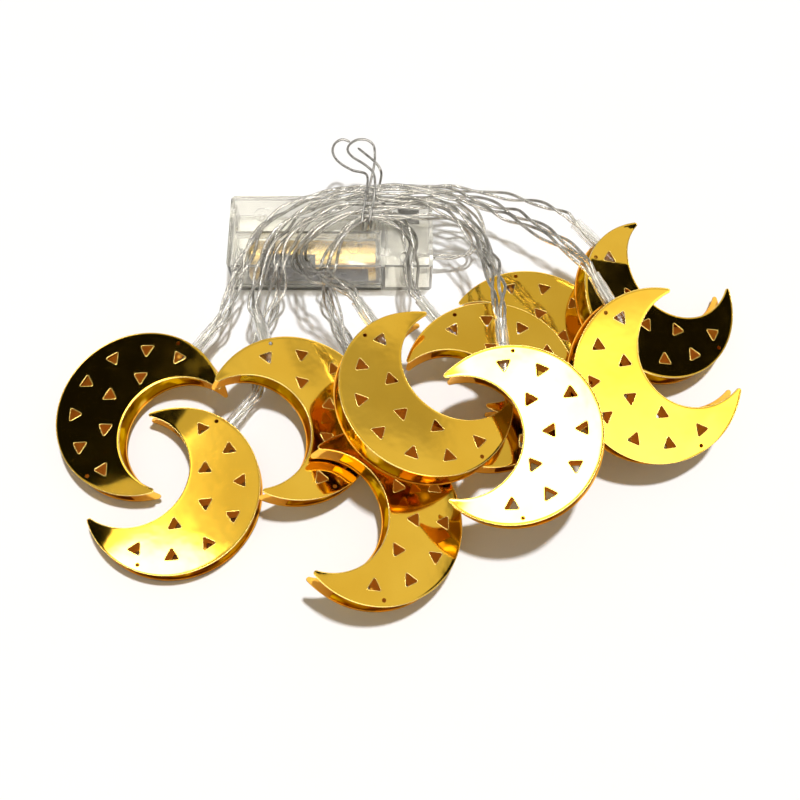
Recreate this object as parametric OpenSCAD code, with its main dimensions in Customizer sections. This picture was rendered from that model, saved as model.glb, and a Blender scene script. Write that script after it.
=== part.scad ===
// Led string lights: ten gold film moons on twisted clear wire, tied over a clear two-cell battery box.
// Millimetres, +Z up. The string lies on the table as put down for its picture.

/* [Moon] */
// Radius of a moon's outer edge
moon_r = 31; // [24:0.5:40]
// Radius of the round cut that makes the crescent, as a part of the moon's radius
cut_part = 0.684; // [0.6:0.004:0.76]
// Distance from the moon's middle to the middle of the cut, as a part of the moon's radius
cut_shift = 0.548; // [0.48:0.004:0.6]
// Depth of a moon over both faces
moon_t = 9; // [6:0.2:14]
// Thickness of the film of faces and bands
film = 0.4; // [0.2:0.05:0.8]
// Rounding radius of the moon's tips
tip_r = 0.9; // [0.5:0.1:2]
// Distance that the faces stand out past the bands
edge_out = 0.4; // [0:0.1:1.5]
// Length at each tip that has no band, so that the tip gapes
band_stop = 9; // [4:0.5:14]

/* [Cut-outs] */
// Side of a triangle cut-out before its corners are rounded
tri_side = 5.6; // [3:0.1:8]
// Corner radius of a triangle cut-out
tri_r = 0.55; // [0.2:0.05:1]
// Outer row's place, as a part of the moon's radius
row_out = 0.78; // [0.7:0.01:0.85]
// Inner row's place, as a part of the moon's radius
row_in = 0.43; // [0.35:0.01:0.5]
// Diameter of the pinholes near the edge
pin_d = 1.5; // [0.8:0.1:3]

/* [Sleeve and light] */
// Outer diameter of the clear sleeve
sleeve_d = 4.8; // [3.6:0.1:6.5]
// Bore of the sleeve, where the light sits
sleeve_bore = 3.5; // [2.6:0.1:5]
// Length of sleeve outside the moon
sleeve_out = 11; // [6:0.5:16]
// Length of sleeve inside the moon
sleeve_in = 10; // [6:0.5:14]
// Diameter of the light's lens
led_d = 3; // [2:0.1:4]

/* [Wire] */
// Diameter over the twisted pair
wire_d = 2.2; // [1.4:0.1:3]
// Diameter of the tie wire
tie_d = 1; // [0.6:0.1:1.6]

/* [Battery box] */
// Length of the box
box_l = 78; // [70:0.5:100]
// Wall thickness
wall = 1.5; // [1.2:0.1:2.5]
// Radius of the box's upright corners
corner_r = 2; // [1:0.25:4]
// Height of the door's side walls
door_h = 4.6; // [4:0.1:6]
// Thickness of the door's plate
door_t = 1.4; // [1:0.1:2]
// Running gap between door and case
run_gap = 0.15; // [0.1:0.05:0.4]
// Thickness of the contact plates
plate_t = 0.4; // [0.3:0.05:0.8]
// Length of the front spring, squeezed by its cell
spring_l = 5.5; // [5:0.25:8]
// Length of the rear spring, with no cell against it
spring_free = 8; // [6.5:0.25:11]
// Diameter of the spring's wire
spring_d = 0.7; // [0.4:0.1:0.9]
// Travel of the switch
switch_travel = 2; // [1:0.25:3]

/* [Cell] */
// Diameter of a cell
cell_d = 14.2; // [10:0.1:20]
// Length of a cell over its nub
cell_l = 50.5; // [40:0.5:60]
// Diameter of the nub
nub_d = 5.4; // [3:0.1:7]
// Height of the nub
nub_h = 1; // [0.6:0.1:2]

/* [Hidden] */
$fn = 64;
eps = 0.02;
gold = [0.83, 0.66, 0.22];
gold_dark = [0.62, 0.42, 0.12];
clear = [0.85, 0.88, 0.9, 0.5];
metal = [0.75, 0.76, 0.78];

// one size of moon was chosen for the layout; the places spread with the moon
k = moon_r / 31;
// moves the whole layout so that the middle of its outline stands over the origin
place = [-0.8, 0.7, 0];

// moons along the string: x, y, layer, lift, tilt about x, tilt about y, turn, sleeve angle
moons = [
  [-9, -51, 2.5, -7.5, 0, 20, 0, 90],
  [32, -1.5, 1.5, 1.5, 6, 0.5, 30, 96],
  [8.3, -12, 3.5, -1.5, -2, 16, 225, -100],
  [37.7, -26, 3.5, -3, 9, -11, 0, 92],
  [-80, -38, 0.5, 1.3, 2, 1, -24, 78],
  [48, 19.5, 0.5, 0, 0, 0, 12, 96],
  [-38, -14, 1.5, 0.5, 0, 18, 26, 85],
  [89.8, -1, 2.5, 0.3, 20, 9.5, 220, -95],
  [-93, -10, 0.5, 4.1, 3, -7, 149, -95],
  [95, 33.5, 1.5, 1.4, 7, 18, 241, -100]
];

// each moon lies on the table on its edge, or on the moons under it, whichever is higher
function lean(m) = cos(m[4]) * cos(m[5]);
function rest_z(m) = moon_t / 2 * lean(m) + moon_r * sqrt(1 - lean(m) * lean(m)) + 0.02;
function moon_z(m) = max(rest_z(m), m[2] * moon_t + m[3] * k);
function moon_at(m) = [m[0] * k, m[1] * k, moon_z(m)];
function turn_x(p, a) = [p[0], p[1] * cos(a) - p[2] * sin(a), p[1] * sin(a) + p[2] * cos(a)];
function turn_y(p, a) = [p[0] * cos(a) + p[2] * sin(a), p[1], p[2] * cos(a) - p[0] * sin(a)];
function turn_z(p, a) = [p[0] * cos(a) - p[1] * sin(a), p[0] * sin(a) + p[1] * cos(a), p[2]];
function in_moon(m, p) = moon_at(m) + turn_y(turn_x(turn_z(p, m[6]), m[4]), m[5]);

cut_r = moon_r * cut_part;
cut_off = moon_r * cut_shift;
// tip circle, touching the outer edge from inside and the cut from outside
tip_a = moon_r - tip_r;
tip_b = cut_r + tip_r;
tip_x = -(tip_a * tip_a - tip_b * tip_b + cut_off * cut_off) / (2 * cut_off);
tip_y = sqrt(tip_a * tip_a - tip_x * tip_x);
tip_ang = atan2(tip_y, tip_x);
cut_ang = atan2(tip_y, tip_x + cut_off);
out_stop = tip_ang - band_stop / moon_r * 180 / PI;
in_stop = cut_ang - band_stop / cut_r * 180 / PI;
band_h = moon_t - 2 * film;
sleeve_hole = sleeve_d + 0.2;

// battery box: widths and heights follow from the cell
cell_gap = 0.2;
box_w = 2 * cell_d + 2 * wall + 0.6;
box_h = door_t + cell_d + 2 * cell_gap + wall;
cell_y = wall + 0.1 + cell_d / 2;
cell_z = door_t + cell_gap + cell_d / 2;
cell_x = wall + plate_t + spring_l;
plus_x = cell_x + cell_l;
wall_x = plus_x + plate_t;
bay_x = wall_x + wall;
bay_end = box_l - wall;
box_at = [12.5 - box_l, 47, 0];
lead_y = 10;
lead_z = 8.5;
lead_hole = wire_d + 0.4;
skirt = wall / 2 - run_gap / 2;
rib_z = door_t + 0.5;
rib_h = 0.8;
rib_out = 0.3;
switch_l = 8.6;
switch_x = (bay_x + bay_end) / 2 - switch_l / 2 + 0.5;
switch_w = 4.4;
switch_h = 4.8;
switch_z = 6.2;
knob_l = 2;
knob_h = 1.8;
post_d = 6;
door_stop = wall_x - run_gap;

// wires: points between the straight ends, chosen by hand
lead_mid = [
  [17, 57, 8.5], [22, 57.2, 8.4], [27, 59, 8.3], [29, 62.5, 10], [27, 66, 13.5], [21, 67.5, 18],
  [13, 67, 21], [5, 66, 22.5], [-3, 65.5, 23], [-10, 65.6, 23.3], [-16, 64, 22.6], [-20.6, 59.2, 21.6],
  [-23.6, 53, 20.8], [-25.3, 46.6, 19.4], [-26.2, 43, 14], [-25.5, 40, 8.5], [-23, 33, 4], [-19, 23, 2.2],
  [-13, 13, 2.8], [-8.6, 5, 7], [-7.8, -1, 12.5]
];
span_mids = [
  [[-10.3, -0.4, 13.8], [-10.7, 5.6, 8], [-16.5, 13, 2.8], [-21.8, 23, 2.2], [-26, 33, 4], [-28.5, 40, 8.5],
   [-29, 43, 14], [-28.4, 46.4, 19.2], [-26.5, 53, 19], [-23, 59.5, 19.2], [-17.5, 65, 20.1],
   [-10, 66.8, 20.3], [-4, 66, 19.8], [0.5, 62.5, 19.4], [2.6, 57, 19.3], [3, 51, 19.2],
   [2.4, 46.6, 19.3], [2.7, 41.5, 19.5]],
  [[5.6, 42.5, 19.6], [5.7, 47, 19.5], [5.8, 52, 19.3], [5.4, 58, 19.3], [3, 64.3, 19.4],
   [-2.5, 68.8, 19.8], [-10, 70.2, 20.3], [-18, 69.6, 19.8], [-26, 67, 19.3], [-33, 62, 19],
   [-38, 55, 19.1], [-39.4, 48.5, 20], [-37.6, 42.5, 23], [-33, 36.5, 28.5], [-26.5, 31.3, 33.4]],
  [[-24, 33.2, 33.9], [-30, 38.4, 29.6], [-34.2, 43.6, 25.2], [-36, 49, 22.4], [-34.8, 55, 21.2],
   [-31.5, 60, 21], [-25, 65, 21.6], [-17.5, 68, 22.8], [-10, 69, 23.4], [-2, 69.5, 23.6],
   [5, 70, 24], [12, 68.8, 25], [19, 64.5, 25.6], [25, 58, 25.6], [28.6, 50.5, 26.5], [30.8, 43, 28.6],
   [32.2, 35.5, 31.4], [33, 28, 33.8]],
  [[36.3, 28, 34], [35.7, 35.5, 31.8], [34.4, 43, 29.2], [32, 51, 27], [28, 59, 25.9],
   [21.5, 66.5, 26], [13.5, 71, 25.2], [5.5, 72.6, 24.4], [-2, 72.8, 24.2], [-10, 72.2, 23.9],
   [-18, 71.4, 23.2], [-26.5, 69, 22], [-34, 64.5, 21.8], [-39.5, 58.5, 21.4], [-42.5, 52, 20.6],
   [-43.5, 47, 19.4], [-44, 43, 15.5], [-45, 40, 11], [-47.5, 34, 7.2], [-50.5, 25, 5],
   [-51.5, 15, 5], [-51, 7, 6], [-51.2, 2, 6.8]],
  [[-53.6, 4, 6.9], [-54.2, 9, 6], [-54.6, 16, 5], [-53.7, 25, 5], [-50.7, 34.5, 7.2], [-48, 40.5, 11],
   [-46.9, 43, 15.5], [-46.4, 46.6, 19.4], [-45.3, 53, 19.3], [-42, 60, 19.2], [-36, 66.5, 19.2],
   [-28, 71, 19.3], [-19, 73.2, 19.9], [-10, 73.6, 20.4], [-2, 73.8, 20], [6, 74.4, 19.5],
   [13.5, 75, 19], [20, 74.8, 17], [25, 73.5, 13.8], [28.5, 71.5, 10], [31, 67.5, 6]],
  [[33.8, 68, 5.6], [32.4, 72, 8], [30, 75, 11.3], [25.8, 77.2, 14.8], [20.5, 78.3, 17.6],
   [14, 78.4, 19.2], [6, 77.8, 19.6], [-2, 77.3, 20], [-10, 77, 20.4], [-19, 76.5, 19.9],
   [-29, 74.4, 19.3], [-38.5, 70, 19.3], [-45.5, 63.5, 19.4], [-50, 56, 19.5], [-52, 48, 19.6],
   [-53.5, 40.5, 19.2], [-54.8, 34.5, 19]],
  [[-52, 35, 19.5], [-50.8, 40.5, 20], [-49.3, 48, 20.8], [-47, 55.5, 21.8], [-42.5, 62.5, 22.4],
   [-36, 68.5, 22.9], [-28, 72.8, 23.6], [-19, 75, 24.6], [-10, 75.4, 25.2], [-1, 75.6, 25.2],
   [8, 75.2, 25.4], [17, 73.3, 26], [26, 69.5, 27], [35, 64.3, 28.6], [43, 58, 31.5],
   [50, 51, 34.8], [57, 43.5, 37.8]],
  [[60.5, 43.8, 38.2], [53.5, 52, 35.4], [45.5, 59.8, 32], [36.5, 66.8, 28.8],
   [27, 72.3, 26.3], [18, 76, 25], [9, 78, 24.4], [-1, 78.6, 24], [-10, 78.6, 23.8],
   [-19, 78.2, 23.4], [-29, 76.6, 22.6], [-39, 73, 22.1], [-47.5, 67, 22], [-53, 59.5, 21.8],
   [-56, 51.5, 21], [-58.3, 44.5, 19.4], [-61.2, 38, 16.3], [-63.2, 32, 14.8]],
  [[-66, 32.5, 14.4], [-64, 38, 16], [-61.8, 44, 19], [-58.5, 51.5, 19.3], [-55, 60, 19.3],
   [-49, 68, 19.3], [-40, 74.5, 19.3], [-30, 78.5, 19.5], [-20, 80.2, 20], [-10, 80.5, 20.4],
   [0, 80.8, 20.2], [10, 81.2, 19.9], [20, 81, 19.6], [29, 79.4, 20], [38, 76.5, 21.8],
   [47, 72, 25], [54.5, 67.5, 27.8]]
];

// tie: a loop, two turns round the bundle, a second loop and a free end
tie_mid = [
  [-19.6, 99.8, 24], [-22.6, 101, 24], [-25.4, 99, 24], [-26.2, 95, 24], [-24, 90.5, 24], [-18.5, 86, 24.6],
  [-13.5, 83.8, 25.6], [-12.3, 80, 26.9], [-12.6, 75.5, 27.6], [-13.2, 70, 26.8], [-14, 65, 25.8],
  [-14.6, 61.8, 22.5], [-14.6, 63, 18.9], [-14, 68, 18.15], [-13.2, 74, 18.15], [-12.4, 79.5, 18.2],
  [-11.6, 83.2, 19.6], [-10.6, 86.4, 22.4], [-9.9, 90, 23.5], [-9.8, 94.5, 24], [-10.4, 98, 24.3],
  [-12.8, 100, 24.8], [-16.4, 99.8, 25.4], [-19.4, 97, 26.2], [-20.2, 93.6, 26.8], [-18.2, 90, 27.4],
  [-13.6, 86, 28.2], [-10.2, 82, 28.3], [-9.4, 76, 28.2], [-10, 70, 26.9], [-11, 65, 25.8],
  [-11.8, 62, 22.5], [-11.6, 63.2, 18.9], [-10.8, 68, 18.15], [-9.8, 74, 18.15], [-8.8, 79.5, 18.2],
  [-7.8, 83.4, 19.8], [-7.2, 84.8, 23], [-7.6, 85.6, 25.8], [-9.6, 88.3, 26.6], [-13, 92, 26.2],
  [-16.3, 95.6, 25.6]
];

// points of a smooth line through the chosen ones
function smooth(p, a, b, c, t) = 0.5 * (2 * a + (b - p) * t + (2 * p - 5 * a + 4 * b - c) * t * t
  + (3 * a - p - 3 * b + c) * t * t * t);
function line(q, n) = concat([for (i = [0:len(q) - 2]) for (j = [0:n - 1])
  smooth(q[max(i - 1, 0)], q[i], q[i + 1], q[min(i + 2, len(q) - 1)], j / n)], [q[len(q) - 1]]);
function unit(v) = v / norm(v);
function heads(q) = [for (i = [0:len(q) - 1]) unit(q[min(i + 1, len(q) - 1)] - q[max(i - 1, 0)])];
function across(v) = unit(cross(v, abs(v[2]) < 0.9 ? [0, 0, 1] : [1, 0, 0]));
function sides(t, n, i = 0) = i == len(t) ? []
  : let (u = unit(n - (n * t[i]) * t[i])) concat([u], sides(t, u, i + 1));
function length_of(q) = len(q) < 2 ? 0 : [for (i = 0, s = 0; i < len(q); i = i + 1,
  s = s + (i < len(q) ? norm(q[i] - q[i - 1]) : 0)) s][len(q) - 1];
// least gap of a line to itself, leaving out the points close along it
function own_gap(q, d, skip) = min([for (i = [0:len(q) - 1]) for (j = [i + skip:1:len(q) - 1])
  norm(q[i] - q[j])]) - d;

// wire ends: two side by side on a sleeve's end, one in the middle at the string's end
function sleeve_end(m, off, out) = in_moon(m, turn_z([moon_r + sleeve_out + out, off, 0], m[7]));
wire_off = wire_d / 2 + 0.12;
function leave(i, off) = [for (a = [0.02, wire_d, wire_d * 1.9]) sleeve_end(moons[i], off, a)];
function arrive(i, off) = [for (a = [wire_d * 1.9, wire_d, 0.02]) sleeve_end(moons[i], off, a)];
lead_start = box_at + [bay_end - 6, lead_y, lead_z];
// which side of the sleeve a span leaves from and arrives at, in turns of the wire's offset
leave_off = [1, -1, -1, -1, 1, -1, -1, -1, 1];
arrive_off = [1, 1, 1, -1, 1, 1, 1, -1, 0];

// points over the box rise with its height
function over_box(q) = [for (p = q) p[1] > 44.5 && p[2] > 17 ? p + [0, 0, box_h - 17.5] : p];
function span_points(i) = concat(leave(i, wire_off * leave_off[i]), over_box(span_mids[i]),
  arrive(i + 1, wire_off * arrive_off[i]));
lead_points = concat([lead_start, box_at + [box_l, lead_y, lead_z]], over_box(lead_mid),
  arrive(0, -wire_off));

// tube of round section swept along points
module tube(q, d, n) {
  t = heads(q);
  u = sides(t, across(t[0]));
  c = len(q);
  pts = [for (i = [0:c - 1]) let (v = cross(t[i], u[i])) for (j = [0:n - 1])
    q[i] + d / 2 * (cos(360 * j / n) * u[i] + sin(360 * j / n) * v)];
  faces = concat(
    [for (i = [0:c - 2]) for (j = [0:n - 1]) [i * n + j, i * n + n + j, i * n + (j + 1) % n]],
    [for (i = [0:c - 2]) for (j = [0:n - 1]) [i * n + (j + 1) % n, i * n + n + j, i * n + n + (j + 1) % n]],
    [[for (j = [0:n - 1]) j]],
    [[for (j = [0:n - 1]) (c - 1) * n + n - 1 - j]]);
  polyhedron(points = pts, faces = faces);
}

// spring: straight at both ends for one wire, a cone of curls between
function spring_points(l, r1, r2, turns) = let (n = round(turns * 8), s = spring_d * 1.1) concat(
  [[0, r1, 0], [s * 0.5, r1, 0]],
  [for (i = [0:n]) let (f = i / n, r = r1 + (r2 - r1) * f)
    [s + (l - 2 * s) * f, r * cos(360 * turns * f), r * sin(360 * turns * f)]],
  [[l - s * 0.5, r2 * cos(360 * turns), r2 * sin(360 * turns)],
   [l, r2 * cos(360 * turns), r2 * sin(360 * turns)]]);
spring_r1 = cell_d * 0.36;
spring_r2 = cell_d * 0.17;
spring_turns = 3.5;
front_spring_points = spring_points(spring_l, spring_r1, spring_r2, spring_turns);
rear_spring_points = spring_points(spring_free, spring_r1, spring_r2, spring_turns);

// crescent with rounded tips
module tip_cut(s) {
  p = moon_r * [cos(tip_ang), sin(tip_ang)];
  q = [-cut_off, 0] + cut_r * [cos(cut_ang), sin(cut_ang)];
  u = (q - p) / norm(q - p);
  n = [u[1], -u[0]];
  w = 12;
  mirror([0, s, 0]) polygon([[tip_x, tip_y] - u * 3, [tip_x, tip_y] + u * 3,
    [tip_x, tip_y] + u * 3 + n * w, [tip_x, tip_y] - u * 3 + n * w]);
}

module crescent() {
  difference() {
    circle(moon_r);
    translate([-cut_off, 0]) circle(cut_r);
    for (s = [0, 1]) tip_cut(s);
  }
  for (s = [-1, 1]) translate([tip_x, s * tip_y]) circle(tip_r);
}

// triangle with rounded corners, one corner toward the moon's middle
module triangle() {
  c = tri_side / sqrt(3) - 2 * tri_r;
  a = [180, 300, 60];
  polygon([for (i = [0:2]) for (e = [-60, 60])
    c * [cos(a[i]), sin(a[i])] + tri_r * [cos(a[i] + e), sin(a[i] + e)]]);
  for (i = [0:2]) translate(c * [cos(a[i]), sin(a[i])]) circle(tri_r, $fn = 24);
}

module face_shape() {
  difference() {
    crescent();
    for (i = [-3:3]) rotate(i * 30.7) translate([row_out * moon_r, 0]) triangle();
    for (i = [-1:1]) rotate(i * 57) translate([row_in * moon_r, 0]) triangle();
    for (s = [-1, 1]) rotate(s * 85) translate([0.93 * moon_r, 0]) circle(pin_d / 2, $fn = 24);
  }
}

module at_moon(i) {
  m = moons[i];
  translate(place + moon_at(m)) rotate([m[4], m[5], 0]) rotate([0, 0, m[6]]) children();
}

module front_face(i) {
  color(gold) at_moon(i) translate([0, 0, moon_t / 2 - film]) linear_extrude(film) face_shape();
}

module back_face(i) {
  color(gold) at_moon(i) translate([0, 0, -moon_t / 2]) linear_extrude(film) face_shape();
}

module rim(i) {
  color(gold_dark) at_moon(i) translate([0, 0, -band_h / 2]) {
    difference() {
      rotate([0, 0, -out_stop]) rotate_extrude(angle = 2 * out_stop)
        translate([moon_r - edge_out - film, 0]) square([film, band_h]);
      rotate([0, 0, moons[i][7]]) translate([moon_r - 6, 0, band_h / 2]) rotate([0, 90, 0])
        cylinder(d = sleeve_hole, h = 12);
    }
    translate([-cut_off, 0, 0]) rotate([0, 0, -in_stop]) rotate_extrude(angle = 2 * in_stop)
      translate([cut_r + edge_out, 0]) square([film, band_h]);
  }
}

module light_sleeves() {
  color(clear) for (i = [0:9]) at_moon(i) rotate([0, 0, moons[i][7]]) rotate([0, 90, 0]) difference() {
    translate([0, 0, moon_r - sleeve_in]) cylinder(d = sleeve_d, h = sleeve_in + sleeve_out);
    translate([0, 0, moon_r - sleeve_in - 1]) cylinder(d = sleeve_bore, h = sleeve_in + 1 + sleeve_out * 0.4);
  }
}

module lights() {
  color([0.95, 0.9, 0.7]) for (i = [0:9]) at_moon(i) rotate([0, 0, moons[i][7]]) rotate([0, 90, 0])
    translate([0, 0, moon_r - sleeve_in - 0.8]) {
      sphere(d = led_d);
      cylinder(d = led_d, h = 3.2);
      translate([0, 0, 2.4]) cylinder(d = (led_d + sleeve_bore) / 2, h = 0.8);
    }
}

module wire(q) {
  color(clear) translate(place) tube(line(q, 2), wire_d, 8);
}

module wire_tie() {
  color(metal) translate(place) tube(line(over_box(tie_mid), 2), tie_d, 8);
}

// outline of the box with rounded corners
module box_outline(l) {
  translate([corner_r, 0]) square([l - 2 * corner_r, box_w]);
  translate([0, corner_r]) square([l, box_w - 2 * corner_r]);
  for (x = [corner_r, l - corner_r]) for (y = [corner_r, box_w - corner_r])
    translate([x, y]) circle(corner_r);
}

module in_box() {
  translate(place + box_at) children();
}

// ring with a plus in it, sunk into the top over each plus end
module plus_mark(x, y) {
  translate([x, y, box_h - 0.3]) {
    linear_extrude(1) difference() {
      circle(3.2);
      circle(2.7);
    }
    translate([-1.7, -0.3, 0]) cube([3.4, 0.6, 1]);
    translate([-0.3, -1.7, 0]) cube([0.6, 3.4, 1]);
  }
}

module battery_case() {
  color(clear) in_box() {
    difference() {
      union() {
        translate([0, 0, door_h + run_gap]) linear_extrude(box_h - door_h - run_gap) box_outline(box_l);
        intersection() {
          linear_extrude(box_h) box_outline(box_l);
          translate([wall_x, -1, -1]) cube([box_l, box_w + 2, box_h]);
        }
      }
      translate([wall, wall, -1]) cube([wall_x - wall, box_w - 2 * wall, box_h + 1 - wall]);
      translate([bay_x, wall, wall]) cube([bay_end - bay_x, box_w - 2 * wall, box_h - 2 * wall]);
      // slots for the solder tabs
      for (y = [cell_y, box_w - cell_y])
        translate([wall_x - 1, y - 1.7, cell_z + 3.8]) cube([wall + 2, 3.4, 0.8]);
      // slot for the switch knob
      translate([switch_x + switch_l / 2 - (knob_l + switch_travel) / 2 - 0.2, box_w - wall - 1,
        switch_z + switch_h / 2 - knob_h / 2 - 0.2])
        cube([knob_l + switch_travel + 0.4, wall + 2, knob_h + 0.4]);
      // hole for the lead
      translate([bay_end - 1, lead_y, lead_z]) rotate([0, 90, 0]) cylinder(d = lead_hole, h = wall + 2);
      plus_mark(plus_x - 10, cell_y);
      plus_mark(cell_x + 5, box_w - cell_y);
    }
    // rib between the two cells
    translate([wall + 1.2, box_w / 2 - 0.5, box_h - wall - 3.5]) cube([wall_x - wall - 1.2 + eps, 1, 3.5 + eps]);
    // skirts that carry the door
    for (s = [0, 1]) translate([0, s * box_w, 0]) mirror([0, s, 0]) {
      translate([wall + 0.2, wall - skirt, rib_z]) cube([wall_x - wall - 0.2 + eps, skirt, door_h + 1 - rib_z]);
      translate([wall + 0.2, wall - skirt - rib_out, rib_z])
        cube([wall_x - wall - 0.2 + eps, rib_out + eps, rib_h]);
    }
    // post for the bay's screw
    translate([bay_x + 8.5, 4.6, wall - eps]) difference() {
      cylinder(d = post_d, h = box_h - 2 * wall + 2 * eps);
      translate([0, 0, -1]) cylinder(d = 2, h = 12);
    }
  }
}

module battery_door() {
  g = run_gap;
  color(clear) in_box() difference() {
    intersection() {
      linear_extrude(door_h) box_outline(box_l);
      translate([-1, -1, -1]) cube([door_stop + 1, box_w + 2, door_h + 2]);
    }
    // hollow over the plate, open at the bay's end
    translate([wall, wall - skirt - g, door_t]) cube([box_l, box_w - 2 * (wall - skirt - g), door_h]);
    // grooves for the ribs of the skirts
    for (s = [0, 1]) translate([0, s * box_w, 0]) mirror([0, s, 0])
      translate([wall, wall - skirt - rib_out - g, rib_z - g]) cube([box_l, rib_out + 2 * g, rib_h + 2 * g]);
    // finger grooves in the underside
    for (i = [0:3]) translate([6 + i * 2.4, box_w / 2 - 6, -1]) cube([1.2, 12, 1.5]);
  }
}

module front_cell() {
  r = cell_d / 2;
  b = cell_l - nub_h;
  color([0.75, 0.6, 0.25]) in_box() translate([cell_x, cell_y, cell_z]) rotate([0, 90, 0]) rotate_extrude()
    polygon([[0, 0], [r - 0.8, 0], [r, 0.5], [r, b - 0.7], [r - 0.8, b], [nub_d / 2, b], [nub_d / 2, cell_l - 0.2],
      [nub_d / 2 - 0.3, cell_l], [0, cell_l]]);
}

module front_spring() {
  color(metal) in_box() translate([wall + plate_t, cell_y, cell_z]) tube(front_spring_points, spring_d, 6);
}

module rear_spring() {
  color(metal) in_box() translate([plus_x, box_w - cell_y, cell_z]) rotate([0, 0, 180])
    tube(rear_spring_points, spring_d, 6);
}

// plate across both cells at the far end, with a pip for the rear cell's plus end
module bridge_plate() {
  color(metal) in_box() {
    translate([wall, wall + 0.6, cell_z - 5.6]) cube([plate_t, box_w - 2 * wall - 1.2, 11]);
    translate([wall + plate_t - eps, box_w - cell_y, cell_z]) rotate([0, 90, 0]) cylinder(d1 = 6, d2 = 4.6, h = 0.7);
  }
}

module end_plate(y) {
  color(metal) in_box() {
    translate([plus_x, y - 5.8, cell_z - 5.6]) cube([plate_t, 11.6, 11]);
    translate([plus_x, y - 1.5, cell_z + 4]) cube([wall + plate_t + 2.4, 3, plate_t]);
  }
}

module plus_plate() {
  end_plate(cell_y);
}

module minus_plate() {
  end_plate(box_w - cell_y);
}

module switch_body() {
  color([0.12, 0.12, 0.13]) in_box() difference() {
    translate([switch_x, box_w - wall - switch_w, switch_z]) cube([switch_l, switch_w, switch_h]);
    translate([switch_x + switch_l / 2 - (knob_l + switch_travel) / 2 - 0.2, box_w - wall - 2,
      switch_z + switch_h / 2 - knob_h / 2 - 0.2]) cube([knob_l + switch_travel + 0.4, 3, knob_h + 0.4]);
  }
}

module switch_knob() {
  color([0.1, 0.1, 0.1]) in_box()
    translate([switch_x + switch_l / 2 - (knob_l + switch_travel) / 2, box_w - wall - 1.85,
      switch_z + switch_h / 2 - knob_h / 2]) cube([knob_l, wall + 1.85 + 1.6, knob_h]);
}

box_nodes = ["battery_case", "battery_door", "front_cell", "front_spring", "rear_spring", "bridge_plate",
  "plus_plate", "minus_plate", "switch_body", "switch_knob"];

for (i = [0:9]) front_face(i);
for (i = [0:9]) back_face(i);
for (i = [0:9]) rim(i);
light_sleeves();
lights();
wire(lead_points);  // lead_wire
for (i = [0:8]) wire(span_points(i));
wire_tie();
battery_case();
battery_door();
front_cell();
front_spring();
rear_spring();
bridge_plate();
plus_plate();
minus_plate();
switch_body();
switch_knob();

echo(front_spring_own_gap = own_gap(front_spring_points, spring_d, 5));
echo(rear_spring_own_gap = own_gap(rear_spring_points, spring_d, 5));
echo(tie_own_gap = own_gap(line(tie_mid, 2), tie_d, 6));
echo(lead_length = length_of(line(lead_points, 2)));
echo(span_lengths = [for (i = [0:8]) length_of(line(span_points(i), 2))]);
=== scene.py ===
import math
import bpy
import bmesh
import numpy as np
from mathutils import Matrix, Vector


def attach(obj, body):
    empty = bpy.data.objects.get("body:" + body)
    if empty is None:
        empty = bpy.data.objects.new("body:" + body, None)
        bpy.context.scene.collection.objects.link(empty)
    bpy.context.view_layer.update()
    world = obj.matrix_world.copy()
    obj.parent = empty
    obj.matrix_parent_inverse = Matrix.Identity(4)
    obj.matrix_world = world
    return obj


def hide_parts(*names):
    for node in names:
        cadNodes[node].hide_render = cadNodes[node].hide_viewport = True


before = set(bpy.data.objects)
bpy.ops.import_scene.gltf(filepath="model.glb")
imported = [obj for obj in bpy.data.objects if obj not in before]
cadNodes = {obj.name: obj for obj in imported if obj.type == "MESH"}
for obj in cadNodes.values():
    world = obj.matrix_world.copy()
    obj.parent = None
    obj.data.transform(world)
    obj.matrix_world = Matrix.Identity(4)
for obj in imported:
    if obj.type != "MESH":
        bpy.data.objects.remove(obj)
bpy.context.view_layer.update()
mm = 0.001
scene = bpy.context.scene
scene.view_settings.view_transform = "Standard"


def aimFrom(start, end):
    return (Vector(end) - Vector(start)).to_track_quat("-Z", "Y").to_euler()


# camera, at the photo's angle
cameraSpot = {"place": (-0.0008, -0.1587, 0.3581), "target": (-0.0008, 0.0007, 0.0), "lens": 47.25, "sensor": 36.0}
cameraData = bpy.data.cameras.new("camera")
cameraData.lens = cameraSpot["lens"]
cameraData.sensor_width = cameraSpot["sensor"]
camera = bpy.data.objects.new("camera", cameraData)
camera.location = cameraSpot["place"]
camera.rotation_euler = aimFrom(cameraSpot["place"], cameraSpot["target"])
scene.collection.objects.link(camera)
scene.camera = camera
print("camera set")


# small tools for meshes and materials
def newPiece(name, verts, faces, material, uvs=None, smooth=True):
    mesh = bpy.data.meshes.new(name)
    mesh.from_pydata([tuple(v) for v in verts], [], [tuple(f) for f in faces])
    if uvs is not None:
        layer = mesh.uv_layers.new(name="along")
        layer.data.foreach_set("uv", np.asarray(uvs, np.float32).ravel())
    mesh.polygons.foreach_set("use_smooth", [smooth] * len(mesh.polygons))
    mesh.materials.append(material)
    mesh.update()
    piece = bpy.data.objects.new(name, mesh)
    scene.collection.objects.link(piece)
    return piece


def settle(piece, slotName, *nodes, body="string"):
    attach(piece, body)
    if nodes:
        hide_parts(*nodes)
    return piece


def plug(tree, socket, value):
    if hasattr(value, "is_output"):
        tree.links.new(value, socket)
    else:
        socket.default_value = value


# inputs go by name, or by place as i0, i1
def addNode(tree, kind, **inputs):
    node = tree.nodes.new(kind)
    for key, value in inputs.items():
        plug(tree, node.inputs[int(key[1:]) if key[1:].isdigit() else key], value)
    return node


def calc(tree, operation, a, b=0.0, c=0.0):
    node = tree.nodes.new("ShaderNodeMath")
    node.operation = operation
    for socket, value in zip(node.inputs, (a, b, c)):
        plug(tree, socket, value)
    return node.outputs[0]


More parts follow.
